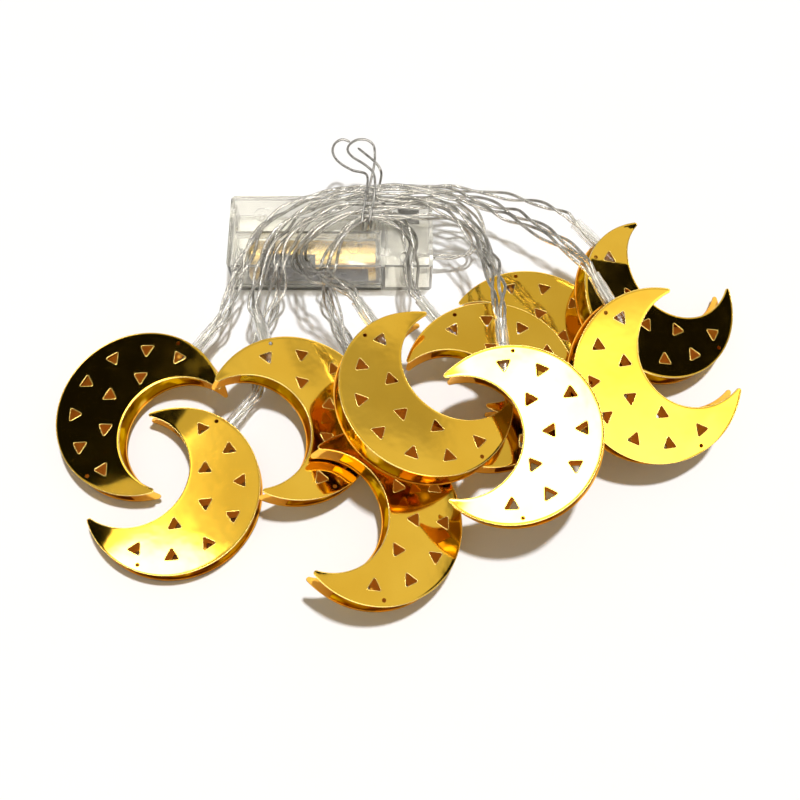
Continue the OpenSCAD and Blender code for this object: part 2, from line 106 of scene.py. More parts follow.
def ramp(tree, factor, stops):
    node = tree.nodes.new("ShaderNodeValToRGB")
    while len(node.color_ramp.elements) < len(stops):
        node.color_ramp.elements.new(0.5)
    for element, (spot, colour) in zip(node.color_ramp.elements, stops):
        element.position = spot
        element.color = (*colour, 1)
    tree.links.new(factor, node.inputs[0])
    return node.outputs[0]


def objectCoords(tree):
    return tree.nodes.new("ShaderNodeTexCoord").outputs["Object"]


def noise(tree, scale, detail, coords=None):
    node = addNode(tree, "ShaderNodeTexNoise", Scale=scale, Detail=detail, Vector=coords or objectCoords(tree))
    return node.outputs[0]


# a colour or a grey that runs from low to high with the factor
def vary(tree, shader, socket, factor, low, high, spots=(0.3, 0.7)):
    low, high = [value if isinstance(value, tuple) else (value,) * 3 for value in (low, high)]
    tree.links.new(ramp(tree, factor, [(spots[0], low), (spots[1], high)]), shader.inputs[socket])


def addBump(tree, shader, height, strength, distance):
    node = addNode(tree, "ShaderNodeBump", Strength=strength, Distance=distance, Height=height)
    tree.links.new(node.outputs[0], shader.inputs["Normal"])


# clear parts cast a pale shadow
def paleShadow(tree, shader, colour):
    pane = addNode(tree, "ShaderNodeBsdfTransparent", Color=(*colour, 1))
    mix = addNode(tree, "ShaderNodeMixShader", i0=tree.nodes.new("ShaderNodeLightPath").outputs["Is Shadow Ray"])
    tree.links.new(shader.outputs[0], mix.inputs[1])
    tree.links.new(pane.outputs[0], mix.inputs[2])
    tree.links.new(mix.outputs[0], tree.nodes["Material Output"].inputs[0])


# colour and roughness: noise scale and detail, low, high, any stops; bump: noise scale and detail, strength, depth
def newMaterial(name, values, colour=None, rough=None, bump=None, shadow=None):
    material = bpy.data.materials.new(name)
    material.use_nodes = True
    tree = material.node_tree
    shader = tree.nodes["Principled BSDF"]
    for key, value in values.items():
        shader.inputs[key].default_value = value
    for socket, look in (("Base Color", colour), ("Roughness", rough)):
        if look:
            vary(tree, shader, socket, noise(tree, *look[:2]), *look[2:])
    if bump:
        addBump(tree, shader, noise(tree, *bump[:2]), *bump[2:])
    if shadow:
        paleShadow(tree, shader, shadow)
    return material, tree, shader


# places of the box and the moons, in millimetres, as in the part's source
layout = {"place": (-0.8, 0.7, 0), "boxAt": (-65.5, 47, 0), "boxLength": 78, "leadY": 10, "leadZ": 8.5}
moonSizes = {"outer": 31, "cut": 21.204, "cutOff": 16.988, "depth": 9, "film": 0.4, "tip": 0.9, "edgeOut": 0.4,
             "bandStop": 9, "triangle": 5.6, "corner": 0.55, "rowOut": 0.78, "rowIn": 0.43, "pin": 1.5}
# x, y, z, tilt about x, tilt about y, turn, sleeve angle
moonSpots = [
    (-9, -51, 15, 0, 20, 0, 90), (32, -1.5, 15, 6, 0.5, 30, 96), (8.3, -12, 30, -2, 16, 225, -100),
    (37.7, -26, 28.5, 9, -11, 0, 92), (-80, -38, 5.8, 2, 1, -24, 78), (48, 19.5, 4.52, 0, 0, 12, 96),
    (-38, -14, 14, 0, 18, 26, 85), (89.8, -1, 22.8, 20, 9.5, 220, -95), (-93, -10, 8.6, 3, -7, 149, -95),
    (95, 33.5, 14.9, 7, 18, 241, -100)]
place = np.array(layout["place"], float)
boxAt = np.array(layout["boxAt"], float)


# a moon lies on its edge, or higher where others carry it
def restHeight(spot):
    lean = math.cos(math.radians(spot[3])) * math.cos(math.radians(spot[4]))
    edge = moonSizes["depth"] / 2 * lean + moonSizes["outer"] * math.sqrt(1 - lean * lean)
    return max(edge + 0.02, spot[2])


def moonMatrix(i):
    x, y, _, tx, ty, turn, _ = moonSpots[i]
    return (Matrix.Translation((x + place[0], y + place[1], restHeight(moonSpots[i]) + place[2]))
            @ Matrix.Rotation(math.radians(ty), 4, "Y") @ Matrix.Rotation(math.radians(tx), 4, "X")
            @ Matrix.Rotation(math.radians(turn), 4, "Z"))


def sleevePoint(i, reach, off):
    a = math.radians(moonSpots[i][6])
    local = Vector((reach * math.cos(a) - off * math.sin(a), reach * math.sin(a) + off * math.cos(a), 0))
    return np.array(moonMatrix(i) @ local)


def smoothLine(points, steps=8):
    q = np.asarray(points, float)
    out = []
    for i in range(len(q) - 1):
        p, a, b, c = q[max(i - 1, 0)], q[i], q[i + 1], q[min(i + 2, len(q) - 1)]
        for j in range(steps):
            t = j / steps
            bend = (2 * p - 5 * a + 4 * b - c) * t * t + (3 * a - p - 3 * b + c) * t ** 3
            out.append(0.5 * (2 * a + (b - p) * t + bend))
    return np.array(out + [q[-1]])


def lineLengths(path):
    return np.r_[0, np.cumsum(np.linalg.norm(np.diff(path, axis=0), axis=1))]


def evenLine(points, step):
    away = lineLengths(points)
    at = np.linspace(0, away[-1], max(int(round(away[-1] / step)), 8) + 1)
    return np.stack([np.interp(at, away, points[:, k]) for k in range(3)], -1), at


def lineFrames(path):
    heads = np.gradient(path, axis=0)
    heads /= np.linalg.norm(heads, axis=1)[:, None]
    side = np.cross(heads[0], (0, 0, 1) if abs(heads[0][2]) < 0.9 else (1, 0, 0))
    sides = []
    for head in heads:
        side = side - head * np.dot(side, head)
        side = side / np.linalg.norm(side)
        sides.append(side)
    sides = np.array(sides)
    return sides, np.cross(heads, sides)


def tubeAlong(path, radius, count):
    u, v = lineFrames(path)
    a = np.linspace(0, 2 * math.pi, count, endpoint=False)
    radius = np.broadcast_to(radius, len(path))
    ring = np.cos(a)[None, :, None] * u[:, None, :] + np.sin(a)[None, :, None] * v[:, None, :]
    verts = path[:, None, :] + radius[:, None, None] * ring
    n = len(path)
    faces, uvs = [], []
    away = lineLengths(path)
    for i in range(n - 1):
        for j in range(count):
            k = (j + 1) % count
            faces.append((i * count + j, i * count + k, (i + 1) * count + k, (i + 1) * count + j))
            left, right = j / count, (j + 1) / count
            uvs += [(left, away[i]), (right, away[i]), (right, away[i + 1]), (left, away[i + 1])]
    faces.append(tuple(range(count - 1, -1, -1)))
    faces.append(tuple((n - 1) * count + j for j in range(count)))
    uvs += [(j / count, 0) for j in range(count - 1, -1, -1)] + [(j / count, away[-1]) for j in range(count)]
    return verts.reshape(-1, 3), faces, uvs


def tubePiece(name, tubes, material):
    verts, faces, uvs, base = [], [], [], 0
    for v, f, t in tubes:
        verts.append(v)
        faces += [tuple(k + base for k in face) for face in f]
        uvs += t
        base += len(v)
    return newPiece(name, np.concatenate(verts), faces, material, uvs)


# clear jacket of the wire
jacketClear = newMaterial(
    "jacketClear", {"Base Color": (0.96, 0.955, 0.93, 1), "Transmission Weight": 1.0, "IOR": 1.48},
    rough=(900, 2, 0.05, 0.16, (0.3, 0.75)), bump=(500, 1, 0.08, 0.0004), shadow=(0.6, 0.59, 0.55))[0]

# tinned core, with fine strands wound round it
strandLay = {"along": 2600.0, "around": 43.98, "strength": 0.5, "depth": 0.00006}
coreTinned, tree, shader = newMaterial("coreTinned", {"Metallic": 1.0, "Roughness": 0.17},
                                       colour=(260, 3, (0.36, 0.35, 0.32), (0.72, 0.70, 0.66)))
split = addNode(tree, "ShaderNodeSeparateXYZ", i0=tree.nodes.new("ShaderNodeUVMap").outputs[0])
around = calc(tree, "MULTIPLY", split.outputs[0], strandLay["around"])
strands = calc(tree, "SINE", calc(tree, "MULTIPLY_ADD", split.outputs[1], strandLay["along"], around))
addBump(tree, shader, strands, strandLay["strength"], strandLay["depth"])

# wires: points between the sleeves
leadMiddle = [
    (17, 57, 8.5), (22, 57.2, 8.4), (27, 59, 8.3), (29, 62.5, 10), (27, 66, 13.5), (21, 67.5, 18),
    (13, 67, 21), (5, 66, 22.5), (-3, 65.5, 23), (-10, 65.6, 23.3), (-16, 64, 22.6), (-20.6, 59.2, 21.6),
    (-23.6, 53, 20.8), (-25.3, 46.6, 19.4), (-26.2, 43, 14), (-25.5, 40, 8.5), (-23, 33, 4), (-19, 23, 2.2),
    (-13, 13, 2.8), (-8.6, 5, 7), (-7.8, -1, 12.5)]
spanMiddles = [
    [(-10.3, -0.4, 13.8), (-10.7, 5.6, 8), (-16.5, 13, 2.8), (-21.8, 23, 2.2), (-26, 33, 4), (-28.5, 40, 8.5),
     (-29, 43, 14), (-28.4, 46.4, 19.2), (-26.5, 53, 19), (-23, 59.5, 19.2), (-17.5, 65, 20.1),
     (-10, 66.8, 20.3), (-4, 66, 19.8), (0.5, 62.5, 19.4), (2.6, 57, 19.3), (3, 51, 19.2),
     (2.4, 46.6, 19.3), (2.7, 41.5, 19.5)],
    [(5.6, 42.5, 19.6), (5.7, 47, 19.5), (5.8, 52, 19.3), (5.4, 58, 19.3), (3, 64.3, 19.4),
     (-2.5, 68.8, 19.8), (-10, 70.2, 20.3), (-18, 69.6, 19.8), (-26, 67, 19.3), (-33, 62, 19),
     (-38, 55, 19.1), (-39.4, 48.5, 20), (-37.6, 42.5, 23), (-33, 36.5, 28.5), (-26.5, 31.3, 33.4)],
    [(-24, 33.2, 33.9), (-30, 38.4, 29.6), (-34.2, 43.6, 25.2), (-36, 49, 22.4), (-34.8, 55, 21.2),
     (-31.5, 60, 21), (-25, 65, 21.6), (-17.5, 68, 22.8), (-10, 69, 23.4), (-2, 69.5, 23.6),
     (5, 70, 24), (12, 68.8, 25), (19, 64.5, 25.6), (25, 58, 25.6), (28.6, 50.5, 26.5), (30.8, 43, 28.6),
     (32.2, 35.5, 31.4), (33, 28, 33.8)],
    [(36.3, 28, 34), (35.7, 35.5, 31.8), (34.4, 43, 29.2), (32, 51, 27), (28, 59, 25.9),
     (21.5, 66.5, 26), (13.5, 71, 25.2), (5.5, 72.6, 24.4), (-2, 72.8, 24.2), (-10, 72.2, 23.9),
     (-18, 71.4, 23.2), (-26.5, 69, 22), (-34, 64.5, 21.8), (-39.5, 58.5, 21.4), (-42.5, 52, 20.6),
     (-43.5, 47, 19.4), (-44, 43, 15.5), (-45, 40, 11), (-47.5, 34, 7.2), (-50.5, 25, 5),
     (-51.5, 15, 5), (-51, 7, 6), (-51.2, 2, 6.8)],
    [(-53.6, 4, 6.9), (-54.2, 9, 6), (-54.6, 16, 5), (-53.7, 25, 5), (-50.7, 34.5, 7.2), (-48, 40.5, 11),
     (-46.9, 43, 15.5), (-46.4, 46.6, 19.4), (-45.3, 53, 19.3), (-42, 60, 19.2), (-36, 66.5, 19.2),
     (-28, 71, 19.3), (-19, 73.2, 19.9), (-10, 73.6, 20.4), (-2, 73.8, 20), (6, 74.4, 19.5),
     (13.5, 75, 19), (20, 74.8, 17), (25, 73.5, 13.8), (28.5, 71.5, 10), (31, 67.5, 6)],
    [(33.8, 68, 5.6), (32.4, 72, 8), (30, 75, 11.3), (25.8, 77.2, 14.8), (20.5, 78.3, 17.6),
     (14, 78.4, 19.2), (6, 77.8, 19.6), (-2, 77.3, 20), (-10, 77, 20.4), (-19, 76.5, 19.9),
     (-29, 74.4, 19.3), (-38.5, 70, 19.3), (-45.5, 63.5, 19.4), (-50, 56, 19.5), (-52, 48, 19.6),
     (-53.5, 40.5, 19.2), (-54.8, 34.5, 19)],
    [(-52, 35, 19.5), (-50.8, 40.5, 20), (-49.3, 48, 20.8), (-47, 55.5, 21.8), (-42.5, 62.5, 22.4),
     (-36, 68.5, 22.9), (-28, 72.8, 23.6), (-19, 75, 24.6), (-10, 75.4, 25.2), (-1, 75.6, 25.2),
     (8, 75.2, 25.4), (17, 73.3, 26), (26, 69.5, 27), (35, 64.3, 28.6), (43, 58, 31.5),
     (50, 51, 34.8), (57, 43.5, 37.8)],
    [(60.5, 43.8, 38.2), (53.5, 52, 35.4), (45.5, 59.8, 32), (36.5, 66.8, 28.8),
     (27, 72.3, 26.3), (18, 76, 25), (9, 78, 24.4), (-1, 78.6, 24), (-10, 78.6, 23.8),
     (-19, 78.2, 23.4), (-29, 76.6, 22.6), (-39, 73, 22.1), (-47.5, 67, 22), (-53, 59.5, 21.8),
     (-56, 51.5, 21), (-58.3, 44.5, 19.4), (-61.2, 38, 16.3), (-63.2, 32, 14.8)],
    [(-66, 32.5, 14.4), (-64, 38, 16), (-61.8, 44, 19), (-58.5, 51.5, 19.3), (-55, 60, 19.3),
     (-49, 68, 19.3), (-40, 74.5, 19.3), (-30, 78.5, 19.5), (-20, 80.2, 20), (-10, 80.5, 20.4),
     (0, 80.8, 20.2), (10, 81.2, 19.9), (20, 81, 19.6), (29, 79.4, 20), (38, 76.5, 21.8),
     (47, 72, 25), (54.5, 67.5, 27.8)]]
wireSizes = {"pair": 2.2, "strand": 1.16, "core": 0.66, "turn": 32.0, "loose": 0.95, "sleeveOut": 11, "inside": 14,
             "offset": 1.22, "step": 1.1, "sides": 12, "coreSides": 8, "near": 0.53}
# the two strands of a pair lie close at their ends and under the tie
wireHold = {"fade": 22, "end": 0.55, "tieAt": (-10, 73, 22), "tieReach": 9, "tieLoose": 0.35}
# distance from the sleeve's mouth and share of the offset
sleeveEnds = [(-wireSizes["inside"], 0.48), (-6, 0.48), (0.2, 0.62), (wireSizes["pair"], 0.85),
              (wireSizes["pair"] * 1.9, 1.0)]
sleeveReach = moonSizes["outer"] + wireSizes["sleeveOut"]
leaveSide = [1, -1, -1, -1, 1, -1, -1, -1, 1]
arriveSide = [1, 1, 1, -1, 1, 1, 1, -1, 0]


# straight end of a wire, from the light out of its sleeve
def sleeveRun(i, side):
    return [sleevePoint(i, sleeveReach + away, wireSizes["offset"] * side * share) for away, share in sleeveEnds]


def layWire(name, node, points, seed):
    path, away = evenLine(smoothLine(points), wireSizes["step"])
    u, v = lineFrames(path)
    total = away[-1]
    fromTie = np.linalg.norm(path - np.array(wireHold["tieAt"]) - place, axis=1)
    endFade = np.clip(np.minimum(away, total - away) / wireHold["fade"] - wireHold["end"], 0, 1)
    tieFade = np.clip((fromTie - wireHold["tieReach"]) / wireHold["fade"], 0, 1)
    swell = 0.5 + 0.5 * np.sin(away / 6.1 + seed * 1.7) * np.sin(away / 9.7 + seed * 2.3)
    loose = swell * endFade * (wireHold["tieLoose"] + (1 - wireHold["tieLoose"]) * tieFade)
    apart = wireSizes["strand"] * wireSizes["near"] + wireSizes["loose"] * loose
    turn = 2 * math.pi * away / wireSizes["turn"] + 0.7 * np.sin(away / 11.3 + seed) + seed * 0.9
    jackets, cores = [], []
    for k in (0, 1):
        a = turn + math.pi * k
        strand = path + apart[:, None] * (np.cos(a)[:, None] * u + np.sin(a)[:, None] * v)
        jackets.append(tubeAlong(strand * mm, wireSizes["strand"] / 2 * mm, wireSizes["sides"]))
        cores.append(tubeAlong(strand * mm, wireSizes["core"] / 2 * mm, wireSizes["coreSides"]))
    jacket = settle(tubePiece(name, jackets, jacketClear), "clear_wire", node)
    core = settle(tubePiece(name + "Core", cores, coreTinned), "clear_wire")
    return total


boxOut = place + boxAt + (layout["boxLength"], layout["leadY"], layout["leadZ"])
leadStart = [boxOut - (10, -2.5, -0.6), boxOut - (7.5, 0, 0), boxOut]
leadPoints = leadStart + [place + p for p in leadMiddle] + sleeveRun(0, -1)[::-1]
lengths = [layWire("leadWire", "lead_wire", leadPoints, 0.0)]
for i, middle in enumerate(spanMiddles):
    points = sleeveRun(i, leaveSide[i]) + [place + p for p in middle] + sleeveRun(i + 1, arriveSide[i])[::-1]
    lengths.append(layWire(f"spanWire{i + 1}", f"span_wire_{i + 1}", points, i + 1.0))
print("wires laid, mm:", [round(float(x), 1) for x in lengths])

# tie: a loop, two turns round the bundle, a second loop and a free end
tieSizes = {"wire": 0.96, "step": 0.7, "sides": 10, "endRound": 0.6}
tieMiddle = [
    (-19.6, 99.8, 24), (-22.6, 101, 24), (-25.4, 99, 24), (-26.2, 95, 24), (-24, 90.5, 24), (-18.5, 86, 24.6),
    (-13.5, 83.8, 25.6), (-12.3, 80, 26.9), (-12.6, 75.5, 27.6), (-13.2, 70, 26.8), (-14, 65, 25.8),
    (-14.6, 61.8, 22.5), (-14.6, 63, 18.9), (-14, 68, 18.15), (-13.2, 74, 18.15), (-12.4, 79.5, 18.2),
    (-11.6, 83.2, 19.6), (-10.6, 86.4, 22.4), (-9.9, 90, 23.5), (-9.8, 94.5, 24), (-10.4, 98, 24.3),
    (-12.8, 100, 24.8), (-16.4, 99.8, 25.4), (-19.4, 97, 26.2), (-20.2, 93.6, 26.8), (-18.2, 90, 27.4),
    (-13.6, 86, 28.2), (-10.2, 82, 28.3), (-9.4, 76, 28.2), (-10, 70, 26.9), (-11, 65, 25.8),
    (-11.8, 62, 22.5), (-11.6, 63.2, 18.9), (-10.8, 68, 18.15), (-9.8, 74, 18.15), (-8.8, 79.5, 18.2),
    (-7.8, 83.4, 19.8), (-7.2, 84.8, 23), (-7.6, 85.6, 25.8), (-9.6, 88.3, 26.6), (-13, 92, 26.2),
    (-16.3, 95.6, 25.6)]
tieSteel = newMaterial("tieSteel", {"Metallic": 1.0}, rough=(800, 2, 0.22, 0.42),
                       colour=(350, 3, (0.30, 0.29, 0.27), (0.52, 0.51, 0.49)))[0]
tiePath, tieAway = evenLine(smoothLine([place + p for p in tieMiddle]), tieSizes["step"])
tieRound = np.full(len(tiePath), tieSizes["wire"] / 2 * mm)
tieRound[[0, -1]] *= tieSizes["endRound"]
tieTube = tubeAlong(tiePath * mm, tieRound, tieSizes["sides"])
tieWire = settle(tubePiece("tieWire", [tieTube], tieSteel), "tie_wire", "wire_tie")
print("tie wound, mm:", round(float(tieAway[-1]), 1))


# gold film: mirror bright, with a faint haze and tiny waves
def goldMaterial(name, tones, rough, wave, scale=120, rise=0.0008):
    return newMaterial(name, {"Metallic": 1.0}, colour=tones and (45, 3, *tones), rough=(160, 4, *rough, (0.3, 0.75)),
                       bump=(scale, 2, wave, rise))


goldFilm = goldMaterial("goldFilm", ((0.78, 0.46, 0.04), (0.84, 0.52, 0.055)), (0.045, 0.10), 0.05)[0]
# pale gold for the front film's cut walls and lips, a painted highlight
goldEdgeHighlight = goldMaterial("goldEdgeHighlight", ((0.92, 0.66, 0.16), (0.97, 0.74, 0.24)), (0.2, 0.3), 0.05)[0]
# the band's film is creased in soft patches; the dark brown of the patches is painted shade, standing in for the
# shadowed floor and neighbours that the band mirrors
goldBand, tree, shader = goldMaterial("goldBand", None, (0.08, 0.2), 0.55, 95, 0.0012)
bandCreasesAndShade = {"scale": 210.0, "soft": 0.45, "shadeEdgeTint": (0.42, 0.25, 0.06, 1),
               "tones": [(0.15, (0.26, 0.135, 0.018)), (0.5, (0.46, 0.26, 0.036)), (0.85, (0.76, 0.47, 0.07))]}
patch = addNode(tree, "ShaderNodeTexVoronoi", Vector=objectCoords(tree), Scale=bandCreasesAndShade["scale"])
patch.feature = "SMOOTH_F1"
patch.inputs["Smoothness"].default_value = bandCreasesAndShade["soft"]
split = addNode(tree, "ShaderNodeSeparateXYZ", i0=patch.outputs["Color"])
tree.links.new(ramp(tree, split.outputs[0], bandCreasesAndShade["tones"]), shader.inputs["Base Color"])
# painted shade: a dark brown edge tint dims the band's grazing reflections
shader.inputs["Specular Tint"].default_value = bandCreasesAndShade["shadeEdgeTint"]
# inside of the film: light scatters there, and a faint orange glow is painted in for the light that comes through the
# film
goldInsideGlow = newMaterial(
    "goldInsideGlow", {"Metallic": 0.1, "Emission Color": (0.9, 0.42, 0.04, 1), "Emission Strength": 0.07},
    colour=(70, 3, (0.92, 0.45, 0.05), (0.97, 0.56, 0.08)), rough=(200, 2, 0.4, 0.55))[0]

# outline of the crescent with rounded tips, as rows from the cut to the outer edge
sz = moonSizes
tipA, tipB = sz["outer"] - sz["tip"], sz["cut"] + sz["tip"]
tipX = -(tipA ** 2 - tipB ** 2 + sz["cutOff"] ** 2) / (2 * sz["cutOff"])
tipY = math.sqrt(tipA ** 2 - tipX ** 2)
tipAngle, cutAngle = math.atan2(tipY, tipX), math.atan2(tipY, tipX + sz["cutOff"])
outStop = tipAngle - sz["bandStop"] / sz["outer"]
inStop = cutAngle - sz["bandStop"] / sz["cut"]
filmGrid = {"rows": 104, "across": 15, "tipSteps": (0.25, 0.5, 0.75, 0.96), "rim": 1.0, "rimSteps": (0, 0.3, 0.75),
            "rimEnd": 1.3}


def crescentRows():
    rows = []
    for t in np.linspace(-1, 1, filmGrid["rows"] + 1):
        a, b = t * tipAngle, t * cutAngle
        rows.append(((sz["cut"] * math.cos(b) - sz["cutOff"], sz["cut"] * math.sin(b)),
                     (sz["outer"] * math.cos(a), sz["outer"] * math.sin(a))))
    sweep = cutAngle + math.pi - tipAngle
    for f in filmGrid["tipSteps"]:
        a, b = tipAngle + sweep / 2 * f, cutAngle + math.pi - sweep / 2 * f
        inner = (tipX + sz["tip"] * math.cos(b), tipY + sz["tip"] * math.sin(b))
        outer = (tipX + sz["tip"] * math.cos(a), tipY + sz["tip"] * math.sin(a))
        rows.append((inner, outer))
        rows.insert(0, ((inner[0], -inner[1]), (outer[0], -outer[1])))
    return rows


# faces of a closed shell: two sheets of n rows by m points, one after the other, and the edges between them
def shellFaces(n, m):
    faces = []

    def at(i, j, sheet=0):
        return sheet * n * m + i * m + j

    for i in range(n - 1):
        for j in range(m - 1):
            faces.append((at(i, j), at(i, j + 1), at(i + 1, j + 1), at(i + 1, j)))
            faces.append((at(i, j, 1), at(i + 1, j, 1), at(i + 1, j + 1, 1), at(i, j + 1, 1)))
        faces.append((at(i, 0), at(i + 1, 0), at(i + 1, 0, 1), at(i, 0, 1)))
        faces.append((at(i + 1, m - 1), at(i, m - 1), at(i, m - 1, 1), at(i + 1, m - 1, 1)))
    for j in range(m - 1):
        faces.append((at(0, j + 1), at(0, j), at(0, j, 1), at(0, j + 1, 1)))
        faces.append((at(n - 1, j), at(n - 1, j + 1), at(n - 1, j + 1, 1), at(n - 1, j, 1)))
    return faces


def filmPlate():
    grid = []
    for inner, outer in crescentRows():
        inner, outer = np.array(inner), np.array(outer)
        width = np.linalg.norm(outer - inner)
        lip = min(filmGrid["rim"], width / 3)
        rim = np.array(filmGrid["rimSteps"]) * lip
        inside = np.linspace(filmGrid["rimEnd"] * lip, width - filmGrid["rimEnd"] * lip, filmGrid["across"])
        grid.append([inner + (outer - inner) * s / width for s in np.r_[rim, inside, width - rim[::-1]]])
    grid = np.array(grid)
    flat = grid.reshape(-1, 2)
    half = np.full(len(flat), sz["film"] / 2)
    return np.r_[np.c_[flat, half], np.c_[flat, -half]], shellFaces(*grid.shape[:2])


# tools for node trees; a geometry node is written without its prefix, and gives its first output
def geometryTree(name, sockets):
    tree = bpy.data.node_groups.new(name, "GeometryNodeTree")
    tree.interface.new_socket("Geometry", in_out="INPUT", socket_type="NodeSocketGeometry")
    for label, value in sockets.items():
        kind = "NodeSocketInt" if isinstance(value, int) else "NodeSocketFloat"
        tree.interface.new_socket(label, in_out="INPUT", socket_type=kind).default_value = value
    tree.interface.new_socket("Geometry", in_out="OUTPUT", socket_type="NodeSocketGeometry")
    return tree, tree.nodes.new("NodeGroupInput"), tree.nodes.new("NodeGroupOutput")


def geoNode(tree, kind, settings=None, **inputs):
    node = tree.nodes.new("GeometryNode" + kind)
    for key, value in (settings or {}).items():
        setattr(node, key, value)
    for key, value in inputs.items():
        for one in value if isinstance(value, list) else [value]:
            plug(tree, node.inputs[key.replace("_", " ")], one)
    return node.outputs[0]


def vectorOf(tree, **parts):
    return addNode(tree, "ShaderNodeCombineXYZ", **parts).outputs[0]


def turnBy(tree, angles):
    return addNode(tree, "FunctionNodeEulerToRotation", Euler=angles).outputs[0]


# a row of shapes on an arc, each turned with it
def holeRow(tree, shape, count, radius, step):
    index = geoNode(tree, "InputIndex")
    middle = calc(tree, "MULTIPLY", calc(tree, "SUBTRACT", count, 1.0), 0.5)
    angle = calc(tree, "MULTIPLY", calc(tree, "SUBTRACT", index, middle), step)
    x = calc(tree, "MULTIPLY", calc(tree, "COSINE", angle), radius)
    y = calc(tree, "MULTIPLY", calc(tree, "SINE", angle), radius)
    spots = geoNode(tree, "Points", Count=count, Position=vectorOf(tree, X=x, Y=y))
    turn = turnBy(tree, vectorOf(tree, Z=angle))
    return geoNode(tree, "InstanceOnPoints", Points=spots, Instance=shape, Rotation=turn)


def cutAway(tree, body, cutter):
    return geoNode(tree, "MeshBoolean", {"operation": "DIFFERENCE", "solver": "EXACT"}, Mesh_1=body, Mesh_2=cutter)


def closeTree(tree, out, result, material):
    real = geoNode(tree, "RealizeInstances", Geometry=result)
    tree.links.new(geoNode(tree, "SetMaterial", Geometry=real, Material=material), out.inputs[0])


def runTree(piece, tree, values=None):
    modifier = piece.modifiers.new("tree", "NODES")
    modifier.node_group = tree
    names = {item.name: item.identifier for item in tree.interface.items_tree if item.in_out == "INPUT"}
    for key, value in (values or {}).items():
        modifier[names[key]] = value
    evaluated = piece.evaluated_get(bpy.context.evaluated_depsgraph_get())
    mesh = bpy.data.meshes.new_from_object(evaluated)
    piece.modifiers.remove(modifier)
    return mesh


# node tree that cuts the rows of triangles and the pinholes through the film, and rounds the triangles' edges
punch, source, out = geometryTree("punchFilm", {
    "Triangle side": float(sz["triangle"]), "Corner": sz["corner"], "Outer row": sz["rowOut"] * sz["outer"],
    "Outer count": 7, "Outer step": math.radians(30.7), "Inner row": sz["rowIn"] * sz["outer"], "Inner count": 3,
    "Inner step": math.radians(57.0), "Pin": sz["pin"], "Pin row": 0.93 * sz["outer"], "Pin step": math.radians(170.0),
    "Lip": 0.34})
into = source.outputs
outerRow = (into["Outer count"], into["Outer row"], into["Outer step"])
innerRow = (into["Inner count"], into["Inner row"], into["Inner step"])
halfTurn = (0, 0, math.pi)
ring = geoNode(punch, "CurvePrimitiveCircle", Resolution=3,
               Radius=calc(punch, "DIVIDE", into["Triangle side"], math.sqrt(3)))
soft = geoNode(punch, "FilletCurve", {"mode": "POLY"}, Curve=ring, Radius=into["Corner"], Count=5)
stem = geoNode(punch, "CurvePrimitiveLine", Start=(0, 0, -2), End=(0, 0, 2))
prism = geoNode(punch, "CurveToMesh", Curve=stem, Profile_Curve=soft, Fill_Caps=True)
aimed = geoNode(punch, "Transform", Geometry=prism, Rotation=halfTurn)
pin = geoNode(punch, "MeshCylinder", Vertices=20, Radius=calc(punch, "MULTIPLY", into["Pin"], 0.5), Depth=4.0)
rows = [holeRow(punch, aimed, *outerRow), holeRow(punch, aimed, *innerRow),
        holeRow(punch, pin, 2, into["Pin row"], into["Pin step"])]
joined = geoNode(punch, "JoinGeometry", Geometry=rows)
cutters = geoNode(punch, "RealizeInstances", Geometry=joined)
cut = cutAway(punch, source.outputs[0], cutters)
lipRound = geoNode(punch, "CurvePrimitiveCircle", Resolution=6, Radius=calc(punch, "MULTIPLY", into["Lip"], 0.5))
lip = geoNode(punch, "CurveToMesh", Curve=soft, Profile_Curve=lipRound)
lipUp = geoNode(punch, "Transform", Geometry=lip, Rotation=halfTurn, Translation=(0, 0, sz["film"] / 2 - 0.06))
lips = [holeRow(punch, lipUp, *outerRow), holeRow(punch, lipUp, *innerRow)]
closeTree(punch, out, geoNode(punch, "JoinGeometry", Geometry=[cut] + lips), goldFilm)
plate = newPiece("filmPlate", *filmPlate(), goldFilm)
filmMesh = runTree(plate, punch)
bpy.data.objects.remove(plate)
bm = bmesh.new()
bm.from_mesh(filmMesh)
bmesh.ops.remove_doubles(bm, verts=bm.verts, dist=1e-5)
bmesh.ops.triangulate(bm, faces=[f for f in bm.faces if len(f.verts) > 4])

# rounded lip along the outline; its pale gold on the front film is a painted highlight
lipSizes = {"round": 0.15, "inset": 0.16, "sink": 0.05, "sides": 6}
outline = crescentRows()
outline = np.array([r[1] for r in outline] + [r[0] for r in outline[::-1]])
inward = np.roll(outline, -1, 0) - np.roll(outline, 1, 0)
inward = np.stack([-inward[:, 1], inward[:, 0]], -1) / np.linalg.norm(inward, axis=1)[:, None]
outline = outline + lipSizes["inset"] * inward
lipLevel = sz["film"] / 2 - lipSizes["sink"]
turns = np.linspace(0, 2 * math.pi, lipSizes["sides"], endpoint=False)
ringVerts = [[bm.verts.new((*(q - lipSizes["round"] * math.cos(a) * w), lipLevel + lipSizes["round"] * math.sin(a)))
              for a in turns] for q, w in zip(outline, inward)]
for k in range(len(ringVerts)):
    for j in range(lipSizes["sides"]):
        n = (j + 1) % lipSizes["sides"]
        bm.faces.new((ringVerts[k - 1][j], ringVerts[k][j], ringVerts[k][n], ringVerts[k - 1][n]))
bm.normal_update()
bm.verts.index_update()
filmVerts = np.array([v.co for v in bm.verts])
filmFaces = [tuple(v.index for v in f.verts) for f in bm.faces]
filmFlat = np.array([f.normal for f in bm.faces])
filmRound = np.array([v.normal for v in bm.verts])
bm.free()
onPlate = np.abs(np.abs(filmVerts[:, 2]) - sz["film"] / 2) < 1e-4


# kinds of face: 0 outside, 1 inside, 2 cut wall, 3 lip
def faceKind(face, normal):
    if not all(onPlate[list(face)]):
        return 3
    return 0 if normal[2] > 0.5 else 1 if normal[2] < -0.5 else 2


filmKind = np.array([faceKind(f, n) for f, n in zip(filmFaces, filmFlat)])
print("film punched, faces:", len(filmFaces))

